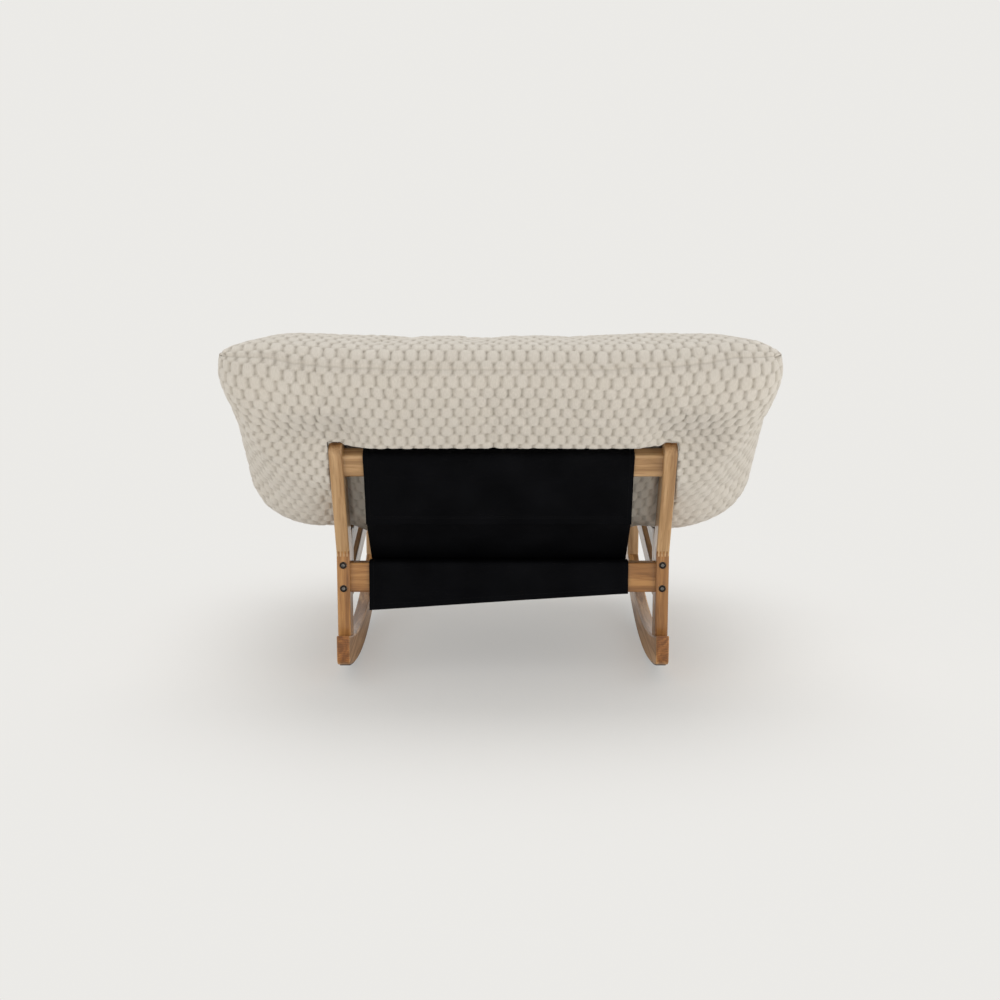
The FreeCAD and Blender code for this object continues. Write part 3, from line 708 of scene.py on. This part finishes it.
def fleece_panel(grid, free_grid, sign, seed):
    """A panel's grid with its bubbles raised, and the cloth coordinates and painted shade of its points
    (darker in the grooves, pits and along the seam), which come from the grid before the frame pushes it in."""
    u, v = cloth_coordinates(free_grid)
    normal = grid_normals(free_grid, sign)
    groove, corner, upright, tone, tall = bubbles(u, v, seed)
    side = u.max(axis=0, keepdims=True) - np.abs(u)
    to_seam = np.minimum(np.minimum(v, v.max(axis=1, keepdims=True) - v), np.maximum(side, 0.0))
    inside = np.clip(groove / bubble_groove, 0, 1)
    dome = np.sqrt(np.clip(1 - (1 - inside) ** 2, 0, 1))
    dome = 1 - (1 - dome) * (flat_groove_share + (1 - flat_groove_share) * upright)
    pit = bell((groove + corner) / pit_reach)
    tight = room_depth(grid + normal * bubble_height, cloth_room)[0]
    pressed = 1 - pressed_flat * eased(tight / pressed_depth)
    height = (bubble_height * (bubble_least + bubble_spread * tall) * dome - pit_depth * pit) * pressed
    height = height * (1 - seam_low_share + seam_low_share * eased(to_seam / seam_low_reach))
    height = height - seam_recess * bell(to_seam / seam_spread)
    if sign < 0:
        from_pleat = side - pleat_place - pleat_slant * v
        pleat = bell(from_pleat / pleat_half_width) * bell(v / pleat_length) * (u > 0)
        height = height - pleat_depth * pleat
    big_lumps = value_noise(u, v, lump_cells[0], seed + 7)
    small_lumps = value_noise(u, v, lump_cells[1], seed + 9)
    lumps = big_lumps + small_lump_share * small_lumps - (1 + small_lump_share) / 2
    free = 1 - eased(room_depth(grid + normal * lump_look, lump_clearance)[0] / lump_fade)
    height = height + lump_height * lumps * free * eased(to_seam / lump_seam_reach)
    # Painted shade: darker in the grooves, upright ones most, in the pits and along the seam; it rides in the
    # "dome" layer
    dark = (1 - inside) * (groove_painted_shade[0] + groove_painted_shade[1] * upright)
    painted_seam_shade = 1 - seam_painted_shade + seam_painted_shade * eased(to_seam / seam_painted_shade_reach)
    shade = np.clip(1 - dark - pit_painted_shade * pit, 0, 1) * painted_seam_shade
    return grid + normal * height[..., None], u, v, shade, tone


# Meshes
def new_mesh(name, points, quads):
    mesh = bpy.data.meshes.new(name)
    mesh.from_pydata(points.reshape(-1, 3).tolist(), [], quads.reshape(-1, 4).tolist())
    return mesh


def grid_quads(index):
    """Four-sided faces over a grid of point numbers."""
    return np.stack([index[:-1, :-1], index[1:, :-1], index[1:, 1:], index[:-1, 1:]], axis=-1).reshape(-1, 4)


def welded_mesh(name, lower, upper, layers):
    """One closed mesh from the two panels, which share the points of their seam."""
    across, along = lower.shape[:2]
    lower_index = np.arange(across * along).reshape(across, along)
    upper_index = np.full((across, along), -1)
    for edge in panel_edges:
        upper_index[edge] = lower_index[edge]
    free = upper_index < 0
    upper_index[free] = across * along + np.arange(free.sum())
    points = np.vstack([lower.reshape(-1, 3), upper[free]])
    mesh = new_mesh(name, points, np.vstack([grid_quads(lower_index)[:, ::-1], grid_quads(upper_index)]))
    for layer, (low_values, high_values) in layers.items():
        attribute = mesh.attributes.new(layer, "FLOAT", "POINT")
        values = np.concatenate([low_values.reshape(-1), high_values[free]])
        attribute.data.foreach_set("value", values.astype(np.float32))
    mesh.shade_smooth()
    return mesh


def closed_sheet(name, grid, thickness):
    """Closed thin mesh from a grid of points on a cloth's middle, with this thickness."""
    half = grid_normals(grid, 1) * thickness[..., None] / 2
    across, along = grid.shape[:2]
    count = across * along
    index = np.arange(count).reshape(across, along)
    top = grid_quads(index)
    bottom = top[:, ::-1] + count
    rim = np.concatenate([index[:, 0], index[-1, 1:], index[-2::-1, -1], index[0, -2:0:-1]])
    ahead = np.roll(rim, -1)
    edge = np.stack([ahead, rim, rim + count, ahead + count], axis=-1)
    mesh = new_mesh(name, np.stack([grid + half, grid - half]), np.vstack([top, bottom, edge]))
    mesh.shade_smooth()
    return mesh


def stitch_mesh(name, rows):
    """Rows of thread dashes, each row given by points on the cloth's face and the face's normals there."""
    box = np.array([(a, b, c) for c in (0, 1) for a, b in ((-1, -1), (1, -1), (1, 1), (-1, 1))])
    sides = np.array([(0, 3, 2, 1), (4, 5, 6, 7), (0, 1, 5, 4), (1, 2, 6, 5), (2, 3, 7, 6), (3, 0, 4, 7)])
    look = 0.001
    dashes = []
    for row, normals in rows:
        run = lengths_along(row)
        middles = np.arange(stitch_step, run[-1] - stitch_step, stitch_step)
        ahead = at_runs(middles + look, run, row) - at_runs(middles - look, run, row)
        ahead = ahead / np.linalg.norm(ahead, axis=1, keepdims=True)
        up = at_runs(middles, run, normals)
        half_length = ahead * stitch_length / 2
        half_width = np.cross(up, ahead) * thread_width / 2
        ways = np.stack([half_length, half_width, up * thread_rise], axis=1)
        dashes.append(at_runs(middles, run, row)[:, None] + box @ ways)
    points = np.concatenate(dashes)
    return new_mesh(name, points, sides + len(box) * np.arange(len(points))[:, None, None])


def new_object(name, data):
    made = bpy.data.objects.new(name, data)
    bpy.context.scene.collection.objects.link(made)
    return made


def add_piece(name, mesh, body, material):
    """A new piece that rides on a body and takes its finish from a slot."""
    piece = new_object(name, mesh)
    mesh.materials.append(material)
    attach(piece, body)
    return piece


# Materials
def feed(tree, node, inputs):
    """Sets a node's input sockets, by name or place, to values or to other nodes' output sockets."""
    for name, value in inputs.items():
        if isinstance(value, bpy.types.NodeSocket):
            tree.links.new(value, node.inputs[name])
        else:
            node.inputs[name].default_value = value


def add_node(tree, kind, inputs=None, **settings):
    node = tree.nodes.new("ShaderNode" + kind)
    for name, value in settings.items():
        setattr(node, name, value)
    feed(tree, node, inputs or {})
    return node


def new_material(name):
    material = bpy.data.materials.new(name)
    material.use_nodes = True
    tree = material.node_tree
    return material, tree, tree.nodes["Principled BSDF"]


def object_place(tree):
    return add_node(tree, "TexCoord").outputs["Object"]


def noise(tree, place, scale, detail, **more):
    """Noise of this scale at a place."""
    inputs = {"Vector": place, "Scale": scale, "Detail": detail, **more}
    return add_node(tree, "TexNoise", inputs).outputs["Fac"]


def mapped(tree, place, vector_type="POINT", **inputs):
    """A place moved, turned or stretched."""
    return add_node(tree, "Mapping", {"Vector": place, **inputs}, vector_type=vector_type).outputs[0]


def ramp(tree, factor, stops):
    """Colour along (place, colour) stops, picked by this factor."""
    node = add_node(tree, "ValToRGB", {"Fac": factor})
    elements = node.color_ramp.elements
    for element, (place, colour) in zip(elements, (stops[0], stops[-1])):
        element.position = place
        element.color = (*colour, 1)
    for place, colour in stops[1:-1]:
        elements.new(place).color = (*colour, 1)
    return node.outputs["Color"]


def grey(value):
    return value, value, value


def multiplied(tree, colour, shade, share):
    """A colour darkened by a shade, by this share."""
    inputs = {"Factor": share, "A": colour, "B": shade}
    return add_node(tree, "Mix", inputs, data_type="RGBA", blend_type="MULTIPLY").outputs["Result"]


def bump(tree, height, strength, distance):
    """A normal that follows a height."""
    inputs = {"Height": height, "Strength": strength, "Distance": distance}
    return add_node(tree, "Bump", inputs).outputs["Normal"]


def math_node(tree, operation, *values):
    """The result of a sum on values or output sockets."""
    return add_node(tree, "Math", dict(enumerate(values)), operation=operation).outputs[0]


def fleece_material():
    """Cream fleece: painted shade in the grooves, pits and seam, a fine streaky pile and bubbles that differ
    a little.
    """
    material, tree, shader = new_material("bubble_fleece")
    names = ("dome", "tone", "cloth_u", "cloth_v")
    layers = [add_node(tree, "Attribute", attribute_name=name) for name in names]
    dome, tone, cloth_u, cloth_v = [layer.outputs["Fac"] for layer in layers]
    place = add_node(tree, "CombineXYZ", {"X": cloth_u, "Y": cloth_v}).outputs[0]
    pile = noise(tree, mapped(tree, place, Scale=(1.0, 0.22, 1.0)), 620.0, 3.0, Roughness=0.6)
    # The "dome" layer holds the painted shade; this ramp turns it into darker grooves, pits and seam
    painted_groove_colour, half_up, top = (0.348, 0.298, 0.234), (0.533, 0.487, 0.423), (0.65, 0.605, 0.537)
    painted_shade_colour = ramp(tree, dome, [(0.0, painted_groove_colour), (0.5, half_up), (0.95, top)])
    streaks = ramp(tree, pile, [(0.30, (0.86, 0.85, 0.83)), (0.70, grey(1.0))])
    tints = ramp(tree, tone, [(0.0, (0.97, 0.965, 0.955)), (1.0, grey(1.0))])
    feed(tree, shader, {
        "Base Color": multiplied(tree, multiplied(tree, painted_shade_colour, streaks, 0.8), tints, 1.0),
        "Roughness": 0.95, "Specular IOR Level": 0.15, "Sheen Weight": 0.25, "Sheen Roughness": 0.6,
        "Normal": bump(tree, pile, 0.55, 0.0012),
    })
    return material


def cloth_material():
    """Near-black woven cloth for the slings."""
    material, tree, shader = new_material("black_cloth")
    place = object_place(tree)
    weave = noise(tree, place, 900.0, 2.0)
    fade = noise(tree, place, 12.0, 4.0)
    feed(tree, shader, {
        "Base Color": ramp(tree, fade, [(0.30, (0.0022, 0.0023, 0.0028)), (0.75, (0.0045, 0.0047, 0.0056))]),
        "Roughness": 0.85,
        "Specular IOR Level": 0.03,
        "Normal": bump(tree, weave, 0.4, 0.0006),
    })
    return material


def wood_material(name, axis, seed, tint, heart=(0.0, 0.0, 0.0), grain_spread=0.15):
    """Light lacquered hardwood whose grain runs along this axis, with rings round its heart at its ends."""
    material, tree, shader = new_material("wood_" + name)
    direction = Vector(axis).normalized()
    turn = direction.to_track_quat("X", "Z").to_euler()
    place = object_place(tree)
    start = (0.37 * seed, 0.19 * seed, 0.11 * seed)
    lay = mapped(tree, place, "TEXTURE", Location=start, Rotation=turn)
    long_lay = mapped(tree, lay, Scale=(0.055, 1.0, 1.0))
    figure = noise(tree, long_lay, 42.0, 5.0, Roughness=0.66, Distortion=0.6)
    pores = noise(tree, long_lay, 420.0, 2.0, Roughness=0.5)
    shades = ((0.36, 0.200, 0.080), (0.57, 0.345, 0.158), (0.73, 0.485, 0.255))
    low, mid, high = [tuple(c * t for c, t in zip(shade, tint)) for shade in shades]
    colour = ramp(tree, figure, [(0.51 - grain_spread, low), (0.52, mid), (0.51 + grain_spread, high)])
    dots = ramp(tree, pores, [(0.36, (0.70, 0.64, 0.56)), (0.46, grey(1.0))])
    pored = multiplied(tree, colour, dots, 0.55)
    normal = add_node(tree, "NewGeometry").outputs["True Normal"]
    along = add_node(tree, "VectorMath", {0: normal, 1: direction}, operation="DOT_PRODUCT").outputs["Value"]
    end_share = ramp(tree, math_node(tree, "ABSOLUTE", along), [(0.75, grey(0.0)), (0.97, grey(1.0))])
    ring_lay = mapped(tree, place, "TEXTURE", Location=heart, Rotation=turn)
    ring_inputs = {"Vector": ring_lay, "Scale": 70.0, "Distortion": 2.0, "Detail": 2.0}
    rings = add_node(tree, "TexWave", ring_inputs, wave_type="RINGS", rings_direction="X").outputs["Fac"]
    ring_colour = ramp(tree, rings, [(0.2, (0.53, 0.38, 0.20)), (0.8, (0.67, 0.51, 0.30))])
    feed(tree, shader, {
        "Base Color": multiplied(tree, pored, ring_colour, end_share),
        "Roughness": ramp(tree, figure, [(0.3, grey(0.48)), (0.7, grey(0.36))]),
        "Specular IOR Level": 0.4, "Coat Weight": 0.5, "Coat Roughness": 0.14,
        "Normal": bump(tree, pores, 0.12, 0.0005),
    })
    return material


def plain_material(name, colours, roughness, metallic, scale, shine=0.5):
    """Small fittings: a colour that varies a little over the surface."""
    material, tree, shader = new_material(name)
    grain = noise(tree, object_place(tree), scale, 4.0)
    feed(tree, shader, {
        "Base Color": ramp(tree, grain, [(0.3, colours[0]), (0.7, colours[1])]),
        "Roughness": roughness, "Metallic": metallic, "Specular IOR Level": shine,
        "Normal": bump(tree, grain, 0.15, 0.0003),
    })
    return material


def bolt_material():
    """Dark bronze with a painted glint: the key sockets' floors are painted light grey and made less
    metallic.
    """
    metallic = 0.85
    bronze = ((0.018, 0.015, 0.013), (0.045, 0.036, 0.030))
    painted_socket_glint = (0.42, 0.40, 0.37, 1.0)
    material = plain_material("dark_bronze", bronze, 0.38, metallic, 260.0)
    tree = material.node_tree
    shader = tree.nodes["Principled BSDF"]
    painted = shader.inputs["Base Color"].links[0].from_socket
    y = add_node(tree, "SeparateXYZ", {0: object_place(tree)}).outputs["Y"]
    # Painted glint: the socket floors of the rear and front bolts are light grey and less metallic
    rear = math_node(tree, "COMPARE", y, post_rear_y + socket_middle, socket_half_depth)
    front = math_node(tree, "COMPARE", y, leg_high.y - socket_middle, socket_half_depth)
    inside = math_node(tree, "ADD", rear, front)
    mixed = add_node(tree, "Mix", {"Factor": inside, "A": painted, "B": painted_socket_glint}, data_type="RGBA")
    feed(tree, shader, {
        "Base Color": mixed.outputs["Result"],
        "Metallic": math_node(tree, "SUBTRACT", metallic, inside),
    })
    return material


def dress(node, material):
    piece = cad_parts[node]
    piece.data.materials.clear()
    piece.data.materials.append(material)


# Pieces
def make_bag():
    """Both panels with their folds, dents and bubbles, as one closed cover."""
    across, along = int(panel_width / coarse_step) | 1, int(panel_length / coarse_step) | 1
    lower, upper = panel_grids(across, along)
    lower, upper = swollen(lower, upper)
    across, along = int(panel_width / fine_step) | 1, int(panel_length / fine_step) | 1
    upper = finer(upper, across, along)
    free_lower = drawn_to_posts(finer(lower, across, along))
    lower = pushed_out(squared_to_posts(free_lower))
    low = fleece_panel(lower, free_lower, -1, 5.0)
    high = fleece_panel(upper, upper, 1, 11.0)
    # The "dome" layer carries the painted groove, pit and seam shade
    names = ("cloth_u", "cloth_v", "dome", "tone")
    layers = {name: (low[k + 1], high[k + 1]) for k, name in enumerate(names)}
    mesh = welded_mesh("bag_cover", low[0], high[0], layers)
    piece = add_piece("bag_cover", mesh, "bag", fleece_material())
    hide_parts("bag_top_cover", "bag_back_cover", "bag_liner", "bag_filling")


def sheet_grid(path_of, rows):
    """Grid of points of a sling, whose (y, z) path may change across its width."""
    grid = np.zeros((sling_columns, rows, 3))
    for i, x in enumerate(np.linspace(-sling_half_width, sling_half_width, sling_columns) + sling_middle_x):
        grid[i, :, 0] = x
        grid[i, :, 1:] = resampled(path_of(x), rows)
    return grid


def rippled(grid, run, height, cell, seed):
    """A sling's grid with ripples of this height and size."""
    ripple = height * (value_noise(grid[..., 0], run, cell, seed) - 0.5)
    return grid + grid_normals(grid, 1) * ripple[..., None]


def hem_thickness(grid, hems):
    """Cloth thickness over a grid: thicker in its side hems and in these (run, width) hems across it."""
    def thick(past_hem):
        return cloth_thickness * (1 + hem_extra * (1 - eased(past_hem / hem_fade)))

    thickness = thick(sling_half_width - np.abs(grid[..., 0] - sling_middle_x) - hem_width)
    run = runs_along(grid)
    for at, width in hems:
        distance = np.abs(run - (at if at >= 0 else run.max(axis=1, keepdims=True)))
        thickness = np.maximum(thickness, thick(distance - width))
    return thickness


def make_stitches(name, grid, thickness, material, across_runs):
    """Stitches on a sling's outer face: across it at these runs, and along its side hems."""
    normal = grid_normals(grid, 1)
    face = grid + normal * thickness[..., None] / 2
    run = runs_along(grid).mean(axis=0)
    rows = []
    for wanted in across_runs:
        j = int(np.argmin(np.abs(run - (wanted if wanted >= 0 else run[-1] + wanted))))
        rows.append((face[2:-2, j], normal[2:-2, j]))
    x = grid[:, 0, 0]
    for edge_x in (x[0] + stitch_inset, x[-1] - stitch_inset):
        i = int(np.argmin(np.abs(x - edge_x)))
        rows.append((face[i, 2:-2], normal[i, 2:-2]))
    add_piece(name, stitch_mesh(name, rows), "frame", material)


def add_sling(name, grid, hems, stitch_runs, material, thread):
    """A sling's cloth with its hems and stitches."""
    thickness = hem_thickness(grid, hems)
    make_stitches(name + "_stitches", grid, thickness, thread, stitch_runs)
    mesh = closed_sheet(name + "_cloth", grid, thickness)
    return add_piece(name + "_cloth", mesh, "frame", material)


def make_back_sling(material, thread):
    """Sleeve round the top rail, sewn to itself at the hem, and the single layer on to the crease."""
    low = top_rail_along - top_rail_height / 2 - cloth_lift
    high = top_rail_along + top_rail_height / 2 + cloth_lift
    rear = rail_setback - cloth_lift
    front = rail_setback + top_rail_depth + cloth_lift
    round_rail = [along_post(a, f) for a, f in ((low, rear), (high, rear), (high, front), (low, front))]
    tail_share = 0.4
    inner_lift = 0.0006
    crease_lift = 0.0004
    path = rounded_path([
        (back_hem[0] - back_hem_behind * tail_share, back_hem[1] - back_hem_tail, 0.0),
        (back_hem[0] - back_hem_behind, back_hem[1], gentle_bend),
        *[(*corner, rail_bend) for corner in round_rail],
        (back_hem[0] + inner_lift, back_hem[1], gentle_bend),
        (crease[0] + inner_lift, crease[1] + crease_lift, 0.0),
    ], path_step)
    length = float(lengths_along(path)[-1])
    run = length * np.linspace(0, 1, back_sling_rows)[None, :]
    grid = rippled(sheet_grid(lambda x: path, back_sling_rows), run, *back_ripple)
    piece = add_sling("back_sling", grid, [(0.0, back_hem_tail)], back_stitch_runs, material, thread)
    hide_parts("back_sling")


def make_seat_sling(material, thread):
    """Flap behind the lower rail, over it, under the bag, round the front rail and back to its hem."""
    lift = cloth_lift
    hem_share = front_hem_run / (front_rail_low.y - crease[0])
    hem = tuple(a + (b - a) * hem_share for a, b in zip(front_edge, crease))

    def path_of(x):
        sway = flap_sway * math.sin(flap_wave * x + flap_wave_start)
        return rounded_path([
            (lower_rail_low.y - flap_away + sway, flap_bottom_z + flap_slant * x, 0.0),
            (lower_rail_low.y - flap_gap, lower_rail_low.z + flap_bend_rise, gentle_bend),
            (lower_rail_low.y - lift, lower_rail_high.z + lift, rail_bend),
            (lower_rail_high.y, lower_rail_high.z + lift, edge_bend),
            (crease[0], crease[1] - lift, crease_bend),
            (front_rail_low.y, front_rail_high.z + lift, edge_bend),
            (front_rail_high.y + lift, front_rail_high.z + lift, rail_bend),
            (front_rail_high.y + lift, front_rail_low.z - lift, rail_bend),
            (front_rail_low.y - lift, front_rail_low.z - lift, rail_bend),
            (hem[0], hem[1] - 2 * lift, 0.0),
        ], path_step)

    grid = sheet_grid(path_of, seat_sling_rows)
    run = runs_along(grid)
    grid = rippled(grid, run, *seat_ripple)
    hems = [(0.0, hem_width), (-1, hem_width)]
    piece = add_sling("seat_sling", grid, hems, seat_stitch_runs, material, thread)
    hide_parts("seat_sling")


def dress_wood():
    """Every board gets its own piece of wood: pale, or redder with a stronger grain low at the rear, where
    the tint is also darker with painted shade.
    """
    upright = (0.0, 0.0, 1.0)
    crosswise = (1.0, 0.0, 0.0)
    rising = (0.0, 1.0, math.tan(side_rail_rise))
    axes = {
        "rocker": (0.0, 1.0, 0.0), "rear_post_lower": upright, "rear_post_upper": (0.0, -sin_lean, cos_lean),
        "front_leg": upright, "rear_stile": upright, "front_stile": upright,
        "lower_side_rail": rising, "upper_side_rail": rising,
    }
    pale_wood = (0.755, 0.725, 0.69)
    # The low rear boards' tint is partly a redder wood and partly painted shade, as those parts get less
    # light
    red_and_shaded_wood = (0.60, 0.445, 0.255)
    bare_wood = (1.1, 1.1, 1.1)
    tints = {"rear_post_lower": red_and_shaded_wood, "rear_lower_rail": red_and_shaded_wood, "rocker": (0.86, 0.72, 0.56)}
    plain_grain, strong_grain = 0.15, 0.085
    heart_drop = 0.11
    seed = 1.0
    for part, axis in axes.items():
        spread = strong_grain if part in tints else plain_grain
        for side in ("left", "right"):
            name = part + "_" + side
            warm = 0.97 + 0.06 * ((seed * 0.618) % 1.0)
            tint = [warm * t for t in tints.get(part, pale_wood)]
            low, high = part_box(name)
            heart = ((low.x + high.x) / 2, low.y, high.z - heart_drop)
            dress(name, wood_material(name, axis, seed, tint, heart, spread))
            seed += 1.0
    for name in ("rear_top_rail", "rear_lower_rail", "front_rail"):
        spread = strong_grain if name in tints else plain_grain
        tint = tints.get(name, pale_wood)
        dress(name, wood_material(name, crosswise, seed, tint, grain_spread=spread))
        seed += 1.0
    bare = wood_material("dowel", crosswise, seed, bare_wood)
    for name in ("cross_rail_dowels", "rocker_dowels", "side_rail_dowels"):
        dress(name, bare)


def dress_fittings():
    dark = bolt_material()
    brass = plain_material("brass", ((0.52, 0.38, 0.15), (0.66, 0.50, 0.22)), 0.32, 1.0, 220.0)
    zinc = plain_material("zinc", ((0.50, 0.50, 0.51), (0.62, 0.62, 0.63)), 0.35, 1.0, 220.0)
    rubber = plain_material("strip_rubber", ((0.020, 0.018, 0.016), (0.040, 0.036, 0.032)), 0.8, 0.0, 500.0)
    for name in ("stile_bolts", "cross_rail_bolts"):
        dress(name, dark)
    dress("stile_inserts", brass)
    dress("cross_rail_barrel_nuts", zinc)
    for side in ("left", "right"):
        dress("rocker_strip_" + side, rubber)


# Stage
def make_floor():
    """Pale floor that fades into the backdrop with the distance from the chair; even under the chair it glows
    with the backdrop colour by a share, painted light that lightens the chair's shadow.
    """
    corners = floor_reach * np.array([(-1, -1, 0), (1, -1, 0), (1, 1, 0), (-1, 1, 0)])
    mesh = new_mesh("floor", corners, np.arange(len(corners)))
    floor = new_object("floor", mesh)
    material, tree, shader = new_material("pale_floor")
    place = object_place(tree)
    cloud = noise(tree, place, 1.3, 3.0)
    colour = ramp(tree, cloud, [(0.3, (0.845, 0.835, 0.815)), (0.7, (0.865, 0.855, 0.835))])
    feed(tree, shader, {"Base Color": colour, "Roughness": 0.7, "Specular IOR Level": 0.1})
    away = add_node(tree, "VectorMath", {0: place}, operation="LENGTH").outputs["Value"]
    reach = {"Value": away, "From Min": floor_fade[0], "From Max": floor_fade[1], "To Min": floor_least_glow}
    fade = add_node(tree, "MapRange", reach, interpolation_type="SMOOTHSTEP").outputs["Result"]
    seen = add_node(tree, "LightPath").outputs["Is Camera Ray"]
    plain = add_node(tree, "Emission", {"Color": backdrop_colour})
    shaders = {"Fac": math_node(tree, "MULTIPLY", fade, seen), 1: shader.outputs[0], 2: plain.outputs[0]}
    mixed = add_node(tree, "MixShader", shaders)
    tree.links.new(mixed.outputs[0], tree.nodes["Material Output"].inputs["Surface"])
    mesh.materials.append(material)


def make_light(name, place, target, size, power, colour):
    """A soft rectangular lamp that points at the target."""
    data = bpy.data.lights.new(name, "AREA")
    data.shape = "RECTANGLE"
    data.size, data.size_y = size
    data.energy = power
    data.color = colour
    lamp = new_object(name, data)
    lamp.location = place
    lamp.visible_camera = False
    lamp.rotation_euler = (Vector(target) - Vector(place)).to_track_quat("-Z", "Y").to_euler()


def make_lights():
    """Even light from all round, which the camera sees as the backdrop's colour, and four lamps."""
    world = bpy.data.worlds.new("studio")
    bpy.context.scene.world = world
    world.use_nodes = True
    tree = world.node_tree
    light = tree.nodes["Background"]
    feed(tree, light, {"Color": (*plain_white, 1.0), "Strength": world_strength})
    backdrop = add_node(tree, "Background", {"Color": backdrop_colour})
    seen = add_node(tree, "LightPath").outputs["Is Camera Ray"]
    mixed = add_node(tree, "MixShader", {"Fac": seen, 1: light.outputs[0], 2: backdrop.outputs[0]})
    tree.links.new(mixed.outputs[0], tree.nodes["World Output"].inputs["Surface"])
    make_light("key", (-2.6, -2.6, 2.4), chair_back, (2.4, 2.0), 5.0, warm_white)
    make_light("low_left", (-2.2, -2.4, 0.40), chair_back, (2.0, 0.8), 19.0, warm_white)
    make_light("low_right", (2.6, -2.0, 0.35), chair_back, (2.0, 0.8), 32.0, soft_white)
    make_light("top", (0.0, 0.6, 3.4), chair_middle, (3.0, 3.0), 54.0, plain_white)


def make_camera():
    data = bpy.data.cameras.new("camera")
    data.sensor_fit = "HORIZONTAL"
    data.sensor_width = camera_sensor
    data.lens = camera_lens
    camera = new_object("camera", data)
    camera.location = camera_place
    camera.rotation_euler = (math.pi / 2 - camera_pitch, 0.0, 0.0)
    bpy.context.scene.camera = camera


def main():
    bpy.context.scene.view_settings.view_transform = "Standard"
    make_camera()
    make_lights()
    make_floor()
    dress_wood()
    dress_fittings()
    cloth = cloth_material()
    thread_black = ((0.004, 0.004, 0.005), (0.006, 0.006, 0.007))
    thread = plain_material("black_thread", thread_black, 0.85, 0.0, 400.0, shine=0.1)
    make_back_sling(cloth, thread)
    make_seat_sling(cloth, thread)
    make_bag()


main()
